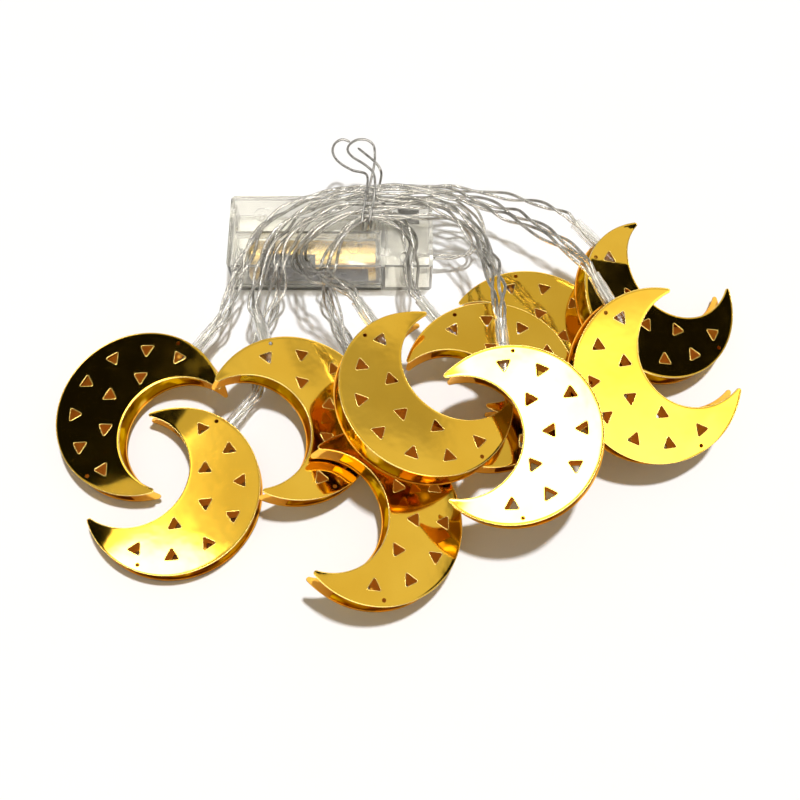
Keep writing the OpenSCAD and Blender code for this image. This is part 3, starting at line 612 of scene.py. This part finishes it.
# bands round the outer edge and the cut, in the moon's own frame
bandSizes = {"hole": 5.0, "drill": 12.0, "rows": 9, "outerSteps": 90, "innerSteps": 60, "noHole": 200.0, "sharp": 35,
             "wave": 0.22, "ripple": 0.15}
bandTree, source, out = geometryTree("sleeveHole", {
    "Hole": bandSizes["hole"], "Angle": 0.0, "Reach": float(sz["outer"])})
drill = geoNode(bandTree, "MeshCylinder", Vertices=32, Depth=bandSizes["drill"],
                Radius=calc(bandTree, "MULTIPLY", source.outputs["Hole"], 0.5))
tilted = geoNode(bandTree, "Transform", Geometry=drill, Rotation=(0, math.pi / 2, 0),
                 Translation=vectorOf(bandTree, X=source.outputs["Reach"]))
swung = geoNode(bandTree, "Transform", Geometry=tilted,
                Rotation=vectorOf(bandTree, Z=source.outputs["Angle"]))
closeTree(bandTree, out, cutAway(bandTree, source.outputs[0], swung), goldBand)


def bandPlate(middle, radius, stop, count):
    half = sz["depth"] / 2 - sz["film"]
    heights = np.linspace(-half, half, bandSizes["rows"])
    angles = np.linspace(-stop, stop, count + 1)
    verts = [(middle + r * math.cos(a), r * math.sin(a), h)
             for r in (radius, radius + sz["film"]) for a in angles for h in heights]
    return verts, shellFaces(len(angles), len(heights))


# how each moon's film is bowed, rippled and creased: bow and its angle, ripple, splay of the tips, and creases with
# a point on each, its direction, its slope and its softness
moonBends = [
    {"bow": 0.25, "bowAngle": 40, "ripple": 0.10, "splay": 0.5},
    {"bow": -0.15, "bowAngle": 80, "ripple": 0.08, "splay": 0.2},
    {"bow": 0.35, "bowAngle": 100, "ripple": 0.08, "splay": 0.4},
    {"bow": 0.20, "bowAngle": 20, "ripple": 0.07, "splay": 0.4},
    {"bow": 0.45, "bowAngle": 60, "ripple": 0.09, "splay": 0.1, "creases": [(-5.5, 27.1, 173, -9, 2.5)]},
    {"bow": -0.15, "bowAngle": 10, "ripple": 0.08, "splay": 0.2},
    {"bow": 0.30, "bowAngle": 120, "ripple": 0.12, "splay": 0.3, "creases": [(6.5, 20, 178, -2, 1.0)]},
    {"bow": 0.35, "bowAngle": 150, "ripple": 0.14, "splay": 0.2,
     "creases": [(2, 25, 110, -3, 0.6), (-3, 24, 140, 5, 0.5), (-8, 23, 150, -5, 0.6)]},
    {"bow": 0.10, "bowAngle": 30, "ripple": 0.06, "splay": 0.2, "creases": [(-8, 24, 135, -7, 3)]},
    {"bow": 0.10, "bowAngle": 70, "ripple": 0.05, "splay": 0.1, "creases": [(1, -24, 210, -5, 0.4)]}]
filmWaves = {"count": 4, "short": 24, "long": 60, "middle": 50, "edgeDrop": 0.10, "edgeWide": 0.8, "splayReach": 20,
             "sideTurn": 25}


def filmLift(i, side, x, y):
    bend = moonBends[i]
    rng = np.random.default_rng(100 + 2 * i + (side > 0))
    a = math.radians(bend["bowAngle"] + filmWaves["sideTurn"] * side)
    across = ((x * math.cos(a) + y * math.sin(a)) / sz["outer"]) ** 2
    h = -bend["bow"] * across if bend["bow"] > 0 else bend["bow"] * (1 - across)
    for k in range(filmWaves["count"]):
        b, wave = rng.uniform(0, math.pi), rng.uniform(filmWaves["short"], filmWaves["long"])
        phase = 2 * math.pi * (x * math.cos(b) + y * math.sin(b)) / wave + rng.uniform(0, 6.28)
        h = h + bend["ripple"] * wave / filmWaves["middle"] * (np.sin(phase) - 1) / 2
    r = np.hypot(x, y)
    past = np.clip((np.abs(np.arctan2(y, x)) - outStop) / (tipAngle - outStop), 0, 1.2)
    h = h + bend["splay"] * past ** 2 * np.clip(r / filmWaves["splayReach"], 0, 1)
    edge = np.minimum(sz["outer"] - r, np.hypot(x + sz["cutOff"], y) - sz["cut"])
    h = h - filmWaves["edgeDrop"] * np.clip(1 - edge / filmWaves["edgeWide"], 0, 1.5) ** 2
    for px, py, angle, slope, soft in bend.get("creases", []) if side > 0 else []:
        c = math.radians(angle)
        far = (x - px) * math.cos(c) + (y - py) * math.sin(c)
        h = h + math.tan(math.radians(slope)) * soft * np.log1p(np.exp(np.clip(far / soft, -40, 40)))
    return h


def placeMesh(verts, i):
    m = np.array(moonMatrix(i))
    return (verts @ m[:3, :3].T + m[:3, 3]) * mm


def filmPiece(i, side):
    x, y = filmVerts[:, 0], filmVerts[:, 1]
    e = 0.05
    lift = filmLift(i, side, x, y)
    gx = (filmLift(i, side, x + e, y) - filmLift(i, side, x - e, y)) / (2 * e)
    gy = (filmLift(i, side, x, y + e) - filmLift(i, side, x, y - e)) / (2 * e)
    up = np.stack([-gx, -gy, np.ones_like(gx)], -1)
    up /= np.linalg.norm(up, axis=1)[:, None]
    up[:, 2] *= side
    z = filmVerts[:, 2] + (sz["depth"] - sz["film"]) / 2 + lift
    verts = np.stack([x, y, side * z], -1)
    faces = filmFaces if side > 0 else [tuple(reversed(f)) for f in filmFaces]
    label = "front" if side > 0 else "back"
    piece = newPiece(f"moon{i + 1}{label.title()}Film", placeMesh(verts, i), faces, goldFilm)
    piece.data.materials.append(goldInsideGlow)
    # painted light: the front film's cut walls and lips take the pale gold as a painted highlight, the back film's take
    # the dark band gold as painted shade
    piece.data.materials.append(goldEdgeHighlight if side > 0 else goldBand)
    piece.data.polygons.foreach_set("material_index", np.minimum(filmKind, 2))
    # the film's own slope gives the normals, so that mirrors stay even across the cut-outs
    corners = []
    for f, (face, kind) in enumerate(zip(faces, filmKind)):
        if kind < 2:
            corners += list((1 - 2 * kind) * up[list(face)])
        elif kind == 3:
            corners += list(filmRound[list(face)] * (1, 1, side))
        else:
            corners += [filmFlat[f] * (1, 1, side)] * len(face)
    turn = np.array(moonMatrix(i))[:3, :3]
    piece.data.normals_split_custom_set([tuple(c) for c in np.array(corners) @ turn.T])
    return settle(piece, "gold_film", f"moon_{i + 1}_{label}_face")


def markSharp(bm, angle):
    for edge in bm.edges:
        edge.smooth = edge.calc_face_angle(0) < math.radians(angle)


def bandPiece(i):
    parts = []
    half = sz["depth"] / 2 - sz["film"]
    outer = (0, sz["outer"] - sz["edgeOut"] - sz["film"], outStop, bandSizes["outerSteps"])
    inner = (-sz["cutOff"], sz["cut"] + sz["edgeOut"], inStop, bandSizes["innerSteps"])
    for band, reach in ((outer, float(sz["outer"])), (inner, bandSizes["noHole"])):
        base = newPiece("bandPlate", *bandPlate(*band), goldBand)
        mesh = runTree(base, bandTree, {"Angle": math.radians(moonSpots[i][6]), "Reach": reach})
        bpy.data.objects.remove(base)
        parts.append((np.array([p.co for p in mesh.vertices]), [tuple(p.vertices) for p in mesh.polygons]))
    verts = np.concatenate([p[0] for p in parts])
    faces = parts[0][1] + [tuple(k + len(parts[0][0]) for k in f) for f in parts[1][1]]
    x, y, z = verts.T
    share = np.clip(z / half, -1, 1)
    top, low = filmLift(i, 1, x, y), filmLift(i, -1, x, y)
    lift = np.where(share > 0, share * top, share * low)
    # the band waves a little between the faces
    rng = np.random.default_rng(300 + i)
    a = np.arctan2(y, x)
    wave = bandSizes["wave"] * np.sin(a * rng.uniform(5, 8) + rng.uniform(0, 6))
    wave = wave + bandSizes["ripple"] * np.sin(a * rng.uniform(11, 15) + rng.uniform(0, 6) + z * 0.3)
    inward = 1 - wave * (1 - share ** 2) / sz["outer"]
    verts = np.stack([x * inward, y * inward, z + lift], -1)
    piece = newPiece(f"moon{i + 1}Bands", placeMesh(verts, i), faces, goldBand)
    bm = bmesh.new()
    bm.from_mesh(piece.data)
    markSharp(bm, bandSizes["sharp"])
    bm.to_mesh(piece.data)
    bm.free()
    return settle(piece, "gold_band", f"moon_{i + 1}_rim")


for i in range(len(moonSpots)):
    filmPiece(i, 1)
    filmPiece(i, -1)
    bandPiece(i)
print("moons made:", len(moonSpots))

# sleeves and lights: one shape each, set on the ten sleeve lines
sleeveSizes = {"outer": 4.8, "bore": 3.5, "out": 11, "inside": 10, "lens": 3.0, "sides": 28, "lensSides": 24}
sleeveClear = newMaterial(
    "sleeveClear", {"Base Color": (0.98, 0.975, 0.95, 1), "Transmission Weight": 0.93, "IOR": 1.4},
    rough=(400, 3, 0.04, 0.2, (0.3, 0.75)), bump=(260, 2, 0.18, 0.0006), shadow=(0.6, 0.59, 0.55))[0]
lensWarm = newMaterial("lensWarm", {"Transmission Weight": 0.75, "IOR": 1.5, "Roughness": 0.12},
                       colour=(500, 2, (0.95, 0.86, 0.55), (0.98, 0.93, 0.75)))[0]


def lathe(profile, count):
    verts, faces = [], []
    n = len(profile)
    for j in range(count):
        a = 2 * math.pi * j / count
        verts += [(x, r * math.cos(a), r * math.sin(a)) for x, r in profile]
    for j in range(count):
        k = (j + 1) % count
        for i in range(n - 1):
            faces.append((j * n + i, k * n + i, k * n + i + 1, j * n + i + 1))
    return verts, faces


def tidyMesh(piece, angle=35):
    bm = bmesh.new()
    bm.from_mesh(piece.data)
    bmesh.ops.remove_doubles(bm, verts=bm.verts, dist=2e-6)
    bmesh.ops.recalc_face_normals(bm, faces=bm.faces)
    markSharp(bm, angle)
    bm.to_mesh(piece.data)
    bm.free()
    piece.data.polygons.foreach_set("use_smooth", [True] * len(piece.data.polygons))


spotTree, source, out = geometryTree("onSleeveLines", {})
spotTree.interface.new_socket("Shape", in_out="INPUT", socket_type="NodeSocketObject")
spotTree.interface.new_socket("Finish", in_out="INPUT", socket_type="NodeSocketMaterial")
aim = geoNode(spotTree, "InputNamedAttribute", {"data_type": "FLOAT_VECTOR"}, Name="aim")
shape = addNode(spotTree, "GeometryNodeObjectInfo", Object=source.outputs["Shape"]).outputs["Geometry"]
spread = geoNode(spotTree, "InstanceOnPoints", Points=source.outputs[0], Instance=shape, Rotation=turnBy(spotTree, aim))
closeTree(spotTree, out, spread, source.outputs["Finish"])


def onSleeveLines(name, profile, count, material):
    shape = newPiece(name + "Shape", *lathe(profile, count), material)
    spots = bpy.data.meshes.new(name)
    matrices = [moonMatrix(i) @ Matrix.Rotation(math.radians(spot[6]), 4, "Z") for i, spot in enumerate(moonSpots)]
    spots.from_pydata([tuple(m.translation) for m in matrices], [], [])
    aims = spots.attributes.new("aim", "FLOAT_VECTOR", "POINT")
    aims.data.foreach_set("vector", np.array([m.to_euler() for m in matrices], np.float32).ravel())
    piece = bpy.data.objects.new(name, spots)
    scene.collection.objects.link(piece)
    mesh = runTree(piece, spotTree, {"Shape": shape, "Finish": material})
    mesh.transform(Matrix.Scale(mm, 4))
    piece.data = mesh
    bpy.data.objects.remove(shape)
    tidyMesh(piece)
    return piece


s0, s1 = sz["outer"] - sleeveSizes["inside"], sz["outer"] + sleeveSizes["out"]
ro, ri = sleeveSizes["outer"] / 2, sleeveSizes["bore"] / 2
# the sleeve is drawn in a little near its mouth
sleeveProfile = [(s0, ri), (s0, ro - 0.2), (s0 + 0.2, ro), (s0 + 9, ro), (s1 - 5, ro), (s1 - 3.4, ro - 0.16),
                 (s1 - 1.6, ro - 0.3), (s1 - 0.5, ro - 0.16), (s1 - 0.1, ro - 0.2), (s1, ro - 0.4), (s1, ri - 0.1),
                 (s1 - 1.6, ri - 0.24), (s1 - 3.4, ri - 0.1), (s1 - 5, ri), (s0 + 9, ri), (s0, ri)]
sleeves = onSleeveLines("lightSleeves", sleeveProfile, sleeveSizes["sides"], sleeveClear)
settle(sleeves, "clear_sleeve", "light_sleeves")
lr = sleeveSizes["lens"] / 2
l0 = s0 - 0.8
lensProfile = [(l0 - lr * math.cos(a), lr * math.sin(a)) for a in np.linspace(0.001, math.pi / 2, 8)] + [
    (l0 + 2.4, lr), (l0 + 2.4, lr + 0.1), (l0 + 3.2, lr + 0.1), (l0 + 3.2, 0.001)]
settle(onSleeveLines("lights", lensProfile, sleeveSizes["lensSides"], lensWarm), "light_lens", "lights")
print("sleeves and lights set")


# box parts: a merged and softened copy of each solid
def softCopy(name, node, width, segments, material, slotName, body="string", angle=30):
    mesh = cadNodes[node].data.copy()
    mesh.name = name
    bm = bmesh.new()
    bm.from_mesh(mesh)
    bmesh.ops.remove_doubles(bm, verts=bm.verts, dist=1e-6)
    bmesh.ops.dissolve_limit(bm, angle_limit=math.radians(0.5), verts=bm.verts, edges=bm.edges)
    sharp = [e for e in bm.edges if e.is_manifold and e.calc_face_angle(0) > math.radians(angle)]
    bmesh.ops.bevel(bm, geom=sharp, offset=width * mm, offset_type="OFFSET", segments=segments, profile=0.6,
                    affect="EDGES", clamp_overlap=True, miter_outer="ARC")
    bmesh.ops.triangulate(bm, faces=[f for f in bm.faces if len(f.verts) > 4])
    for f in bm.faces:
        f.smooth = True
        f.material_index = 0
    markSharp(bm, angle)
    bm.to_mesh(mesh)
    bm.free()
    mesh.materials.clear()
    mesh.materials.append(material)
    for layer in list(mesh.uv_layers):
        mesh.uv_layers.remove(layer)
    piece = bpy.data.objects.new(name, mesh)
    scene.collection.objects.link(piece)
    return settle(piece, slotName, node, body=body)


def clearPlastic(name, colour, clear, wave):
    return newMaterial(
        name, {"Base Color": (*colour, 1), "Transmission Weight": clear, "IOR": 1.45},
        rough=(220, 4, 0.01, 0.05, (0.35, 0.7)), bump=(90, 2, wave, 0.0006), shadow=(0.58, 0.57, 0.53))[0]


caseClear = clearPlastic("caseClear", (0.97, 0.96, 0.92), 0.88, 0.05)
doorClear = clearPlastic("doorClear", (0.97, 0.965, 0.93), 0.93, 0.06)
softCopy("batteryCase", "battery_case", 0.25, 2, caseClear, "clear_case")
softCopy("batteryDoor", "battery_door", 0.2, 2, doorClear, "clear_case", body="door")

contactSteel, tree, shader = newMaterial("contactSteel", {"Metallic": 1.0},
                                         colour=(300, 3, (0.55, 0.54, 0.51), (0.74, 0.73, 0.70)))
stretch = addNode(tree, "ShaderNodeMapping", Vector=objectCoords(tree), Scale=(900.0, 60.0, 900.0))
brush = noise(tree, 1.0, 3, stretch.outputs[0])
vary(tree, shader, "Roughness", brush, 0.2, 0.38)
addBump(tree, shader, brush, 0.2, 0.00005)
for node in ("bridge_plate", "plus_plate", "minus_plate"):
    softCopy(node.split("_")[0] + "Plate", node, 0.08, 1, contactSteel, "contact_metal")

switchBlack = newMaterial(
    "switchBlack", {"IOR": 1.5}, colour=(500, 3, (0.018, 0.018, 0.02), (0.035, 0.035, 0.037)),
    rough=(900, 2, 0.35, 0.5), bump=(2500, 1, 0.15, 0.00005))[0]
softCopy("switchBody", "switch_body", 0.15, 2, switchBlack, "switch_plastic")
softCopy("switchKnob", "switch_knob", 0.25, 2, switchBlack, "switch_plastic", body="switch")

# cell: gold wrap with a dark band along it, higher on its first half, and bare metal ends
boxSpots = {"bayY": 8.7, "bayZ": 8.7, "width": 32, "cell": 7.4, "frontSpring": 1.9, "rearSpring": 57.9}
cellLook = {"length": 50.5, "bandFrom": -0.95, "bandTo": 0.6, "bandHigh": 1.25, "half": 26, "startGold": 6,
            "endGold": 4.5, "startBare": 0.7, "endBare": 1.6, "band": (0.012, 0.012, 0.013, 1),
            "metal": (0.68, 0.67, 0.64, 1)}
cellAt = (place + boxAt + (boxSpots["cell"], boxSpots["bayY"], boxSpots["bayZ"])) * mm


def mixColour(tree, share, first, second):
    node = tree.nodes.new("ShaderNodeMix")
    node.data_type = "RGBA"
    for k, value in ((0, share), (6, first), (7, second)):
        plug(tree, node.inputs[k], value)
    return node.outputs[2]


cellWrap, tree, shader = newMaterial("cellWrap", {"Metallic": 1.0}, rough=(300, 2, 0.18, 0.3))
spot = addNode(tree, "ShaderNodeSeparateXYZ", i0=objectCoords(tree))
along = calc(tree, "SUBTRACT", spot.outputs[0], float(cellAt[0]))
height = calc(tree, "SUBTRACT", spot.outputs[2], float(cellAt[2]))
angle = calc(tree, "ARCTAN2", height, calc(tree, "SUBTRACT", float(cellAt[1]), spot.outputs[1]))
firstHalf = calc(tree, "LESS_THAN", along, cellLook["half"] * mm)
bandTop = calc(tree, "MULTIPLY_ADD", firstHalf, cellLook["bandHigh"] - cellLook["bandTo"], cellLook["bandTo"])
inBand = calc(tree, "GREATER_THAN", angle, cellLook["bandFrom"])
for limit in (calc(tree, "LESS_THAN", angle, bandTop),
              calc(tree, "LESS_THAN", along, (cellLook["length"] - cellLook["endGold"]) * mm),
              calc(tree, "GREATER_THAN", along, cellLook["startGold"] * mm)):
    inBand = calc(tree, "MULTIPLY", inBand, limit)
ends = calc(tree, "MAXIMUM", calc(tree, "LESS_THAN", along, cellLook["startBare"] * mm),
            calc(tree, "GREATER_THAN", along, (cellLook["length"] - cellLook["endBare"]) * mm))
foil = ramp(tree, noise(tree, 120, 3), [(0.3, (0.72, 0.50, 0.16)), (0.7, (0.86, 0.66, 0.27))])
wrapped = mixColour(tree, ends, mixColour(tree, inBand, foil, cellLook["band"]), cellLook["metal"])
tree.links.new(wrapped, shader.inputs["Base Color"])
softCopy("frontCell", "front_cell", 0.2, 2, cellWrap, "cell_wrap", angle=25)

# springs: cone of curls, wound by a node tree
springSizes = {"Wire": 0.7, "Wide": 5.112, "Narrow": 2.414, "Turns": 3.5, "Length": 5.5}
springLong = 8.0
springTree, source, out = geometryTree("coneSpring", springSizes)
into = source.outputs
coil = geoNode(springTree, "CurveSpiral", Resolution=40, Rotations=into["Turns"], Start_Radius=into["Wide"],
               End_Radius=into["Narrow"], Height=calc(springTree, "SUBTRACT", into["Length"], into["Wire"]))
wireRound = geoNode(springTree, "CurvePrimitiveCircle", Resolution=10,
                    Radius=calc(springTree, "MULTIPLY", into["Wire"], 0.5))
wound = geoNode(springTree, "CurveToMesh", Curve=coil, Profile_Curve=wireRound,
                Fill_Caps=True)
closeTree(springTree, out, wound, contactSteel)


def springPiece(name, node, length, x, y, turn):
    piece = newPiece(name, [(0, 0, 0)], [], contactSteel)
    piece.data = runTree(piece, springTree, {**springSizes, "Length": length})
    at = Matrix.Translation(tuple(place + boxAt + (x, y, boxSpots["bayZ"])))
    lift = Matrix.Translation((0, 0, springSizes["Wire"] / 2))
    piece.data.transform(Matrix.Scale(mm, 4) @ at @ Matrix.Rotation(math.radians(turn), 4, "Y") @ lift)
    tidyMesh(piece, 60)
    return settle(piece, "contact_metal", node)


springPiece("frontSpring", "front_spring", springSizes["Length"], boxSpots["frontSpring"], boxSpots["bayY"], 90)
springPiece("rearSpring", "rear_spring", springLong, boxSpots["rearSpring"], boxSpots["width"] - boxSpots["bayY"], -90)
print("box parts made")

# floor, lamp and the studio round the object
studio = {"key": 2.65, "keyAt": (0.21, 0.20, 1.4), "keySize": 4.0, "ambient": 0.32, "base": 0.70, "right": 0.92,
          "strip": 0.56, "front": 4.2, "frontLow": 1.25, "left": 2.6, "leftLow": 0.95, "glare": 25.0, "dark": 0.008,
          "pale": 0.35, "floorHalf": 20, "floorAt": -0.0001}
# panels overhead: low and high slope along x, then along y, and any softness of the edge
panels = {"strip": (0.35, 0.74, 0.575, 0.70), "front": (-0.42, 0.95, -9.0, -0.1), "left": (-0.42, 0.0, -0.1, 0.42),
          "glare": (-0.37, -0.16, -0.07, 0.19), "darkLeft": (-1.0, -0.42, 0.12, 0.7, 0.02),
          "darkRight": (0.94, 1.7, 0.15, 0.65, 0.02)}
floorWhite = newMaterial("floorWhite", {"Roughness": 0.9, "Specular IOR Level": 0.0},
                         colour=(12, 2, (0.92, 0.93, 0.96), (0.93, 0.94, 0.97)))[0]
far = studio["floorHalf"]
corners = [(x, y, studio["floorAt"]) for x, y in ((-far, -far), (far, -far), (far, far), (-far, far))]
floor = newPiece("floor", corners, [(0, 1, 2, 3)], floorWhite, smooth=False)

keyData = bpy.data.lights.new("keyLamp", "SUN")
keyData.angle = math.radians(studio["keySize"])
keyData.energy = studio["key"]
keyLamp = bpy.data.objects.new("keyLamp", keyData)
keyLamp.location = studio["keyAt"]
keyLamp.rotation_euler = aimFrom(studio["keyAt"], (0, 0, 0))
keyLamp.visible_glossy = False
scene.collection.objects.link(keyLamp)

world = bpy.data.worlds.new("studio")
scene.world = world
world.use_nodes = True
tree = world.node_tree
spot = addNode(tree, "ShaderNodeSeparateXYZ", i0=tree.nodes.new("ShaderNodeTexCoord").outputs["Generated"])
up = calc(tree, "MAXIMUM", spot.outputs[2], 0.05)
px, py = calc(tree, "DIVIDE", spot.outputs[0], up), calc(tree, "DIVIDE", spot.outputs[1], up)


def rise(value, low, high):
    node = tree.nodes.new("ShaderNodeMapRange")
    node.interpolation_type = "SMOOTHSTEP"
    for socket, number in zip(node.inputs, (value, low, high, 0, 1)):
        plug(tree, socket, number)
    return node.outputs[0]


def fall(value, low, high):
    return calc(tree, "SUBTRACT", 1.0, rise(value, low, high))


def blendTo(level, share, target):
    kept = calc(tree, "MULTIPLY", level, calc(tree, "SUBTRACT", 1.0, share))
    return calc(tree, "ADD", kept, calc(tree, "MULTIPLY", share, target))


# soft-edged rectangle overhead, in slopes from the middle
def panel(x0, x1, y0, y1, soft=0.03):
    share = calc(tree, "MULTIPLY", rise(px, x0 - soft, x0 + soft), fall(px, x1 - soft, x1 + soft))
    share = calc(tree, "MULTIPLY", share, rise(py, y0 - soft, y0 + soft))
    return calc(tree, "MULTIPLY", share, fall(py, y1 - soft, y1 + soft))


front = calc(tree, "MULTIPLY_ADD", rise(py, -0.36, -0.16), studio["frontLow"] - studio["front"], studio["front"])
left = calc(tree, "MULTIPLY_ADD", rise(px, -0.26, -0.12), studio["leftLow"] - studio["left"], studio["left"])
level = blendTo(studio["base"], rise(px, 0.3, 0.4), studio["right"])
for name, target in (("strip", studio["strip"]), ("front", front), ("left", left), ("glare", studio["glare"]),
                     ("darkLeft", studio["dark"]), ("darkRight", studio["dark"])):
    level = blendTo(level, panel(*panels[name]), target)
slope = calc(tree, "SQRT", calc(tree, "ADD", calc(tree, "MULTIPLY", px, px), calc(tree, "MULTIPLY", py, py)))
level = blendTo(level, rise(slope, 1.6, 2.2), studio["pale"])
# scattered light comes evenly from all round, the panels show in mirrors and clear parts, the background is white
rays = tree.nodes.new("ShaderNodeLightPath")
toCamera = rays.outputs["Is Camera Ray"]
seen = calc(tree, "MAXIMUM", rays.outputs["Is Glossy Ray"], rays.outputs["Is Transmission Ray"])
level = blendTo(studio["ambient"], seen, level)
level = blendTo(level, toCamera, 1.0)
tint = ramp(tree, calc(tree, "MULTIPLY_ADD", seen, 0.5, toCamera),
            [(0.0, (1.0, 0.86, 0.64)), (0.5, (1.0, 0.97, 0.91)), (1.0, (1, 1, 1))])
shell = tree.nodes["Background"]
tree.links.new(tint, shell.inputs["Color"])
tree.links.new(level, shell.inputs["Strength"])
print("studio set")
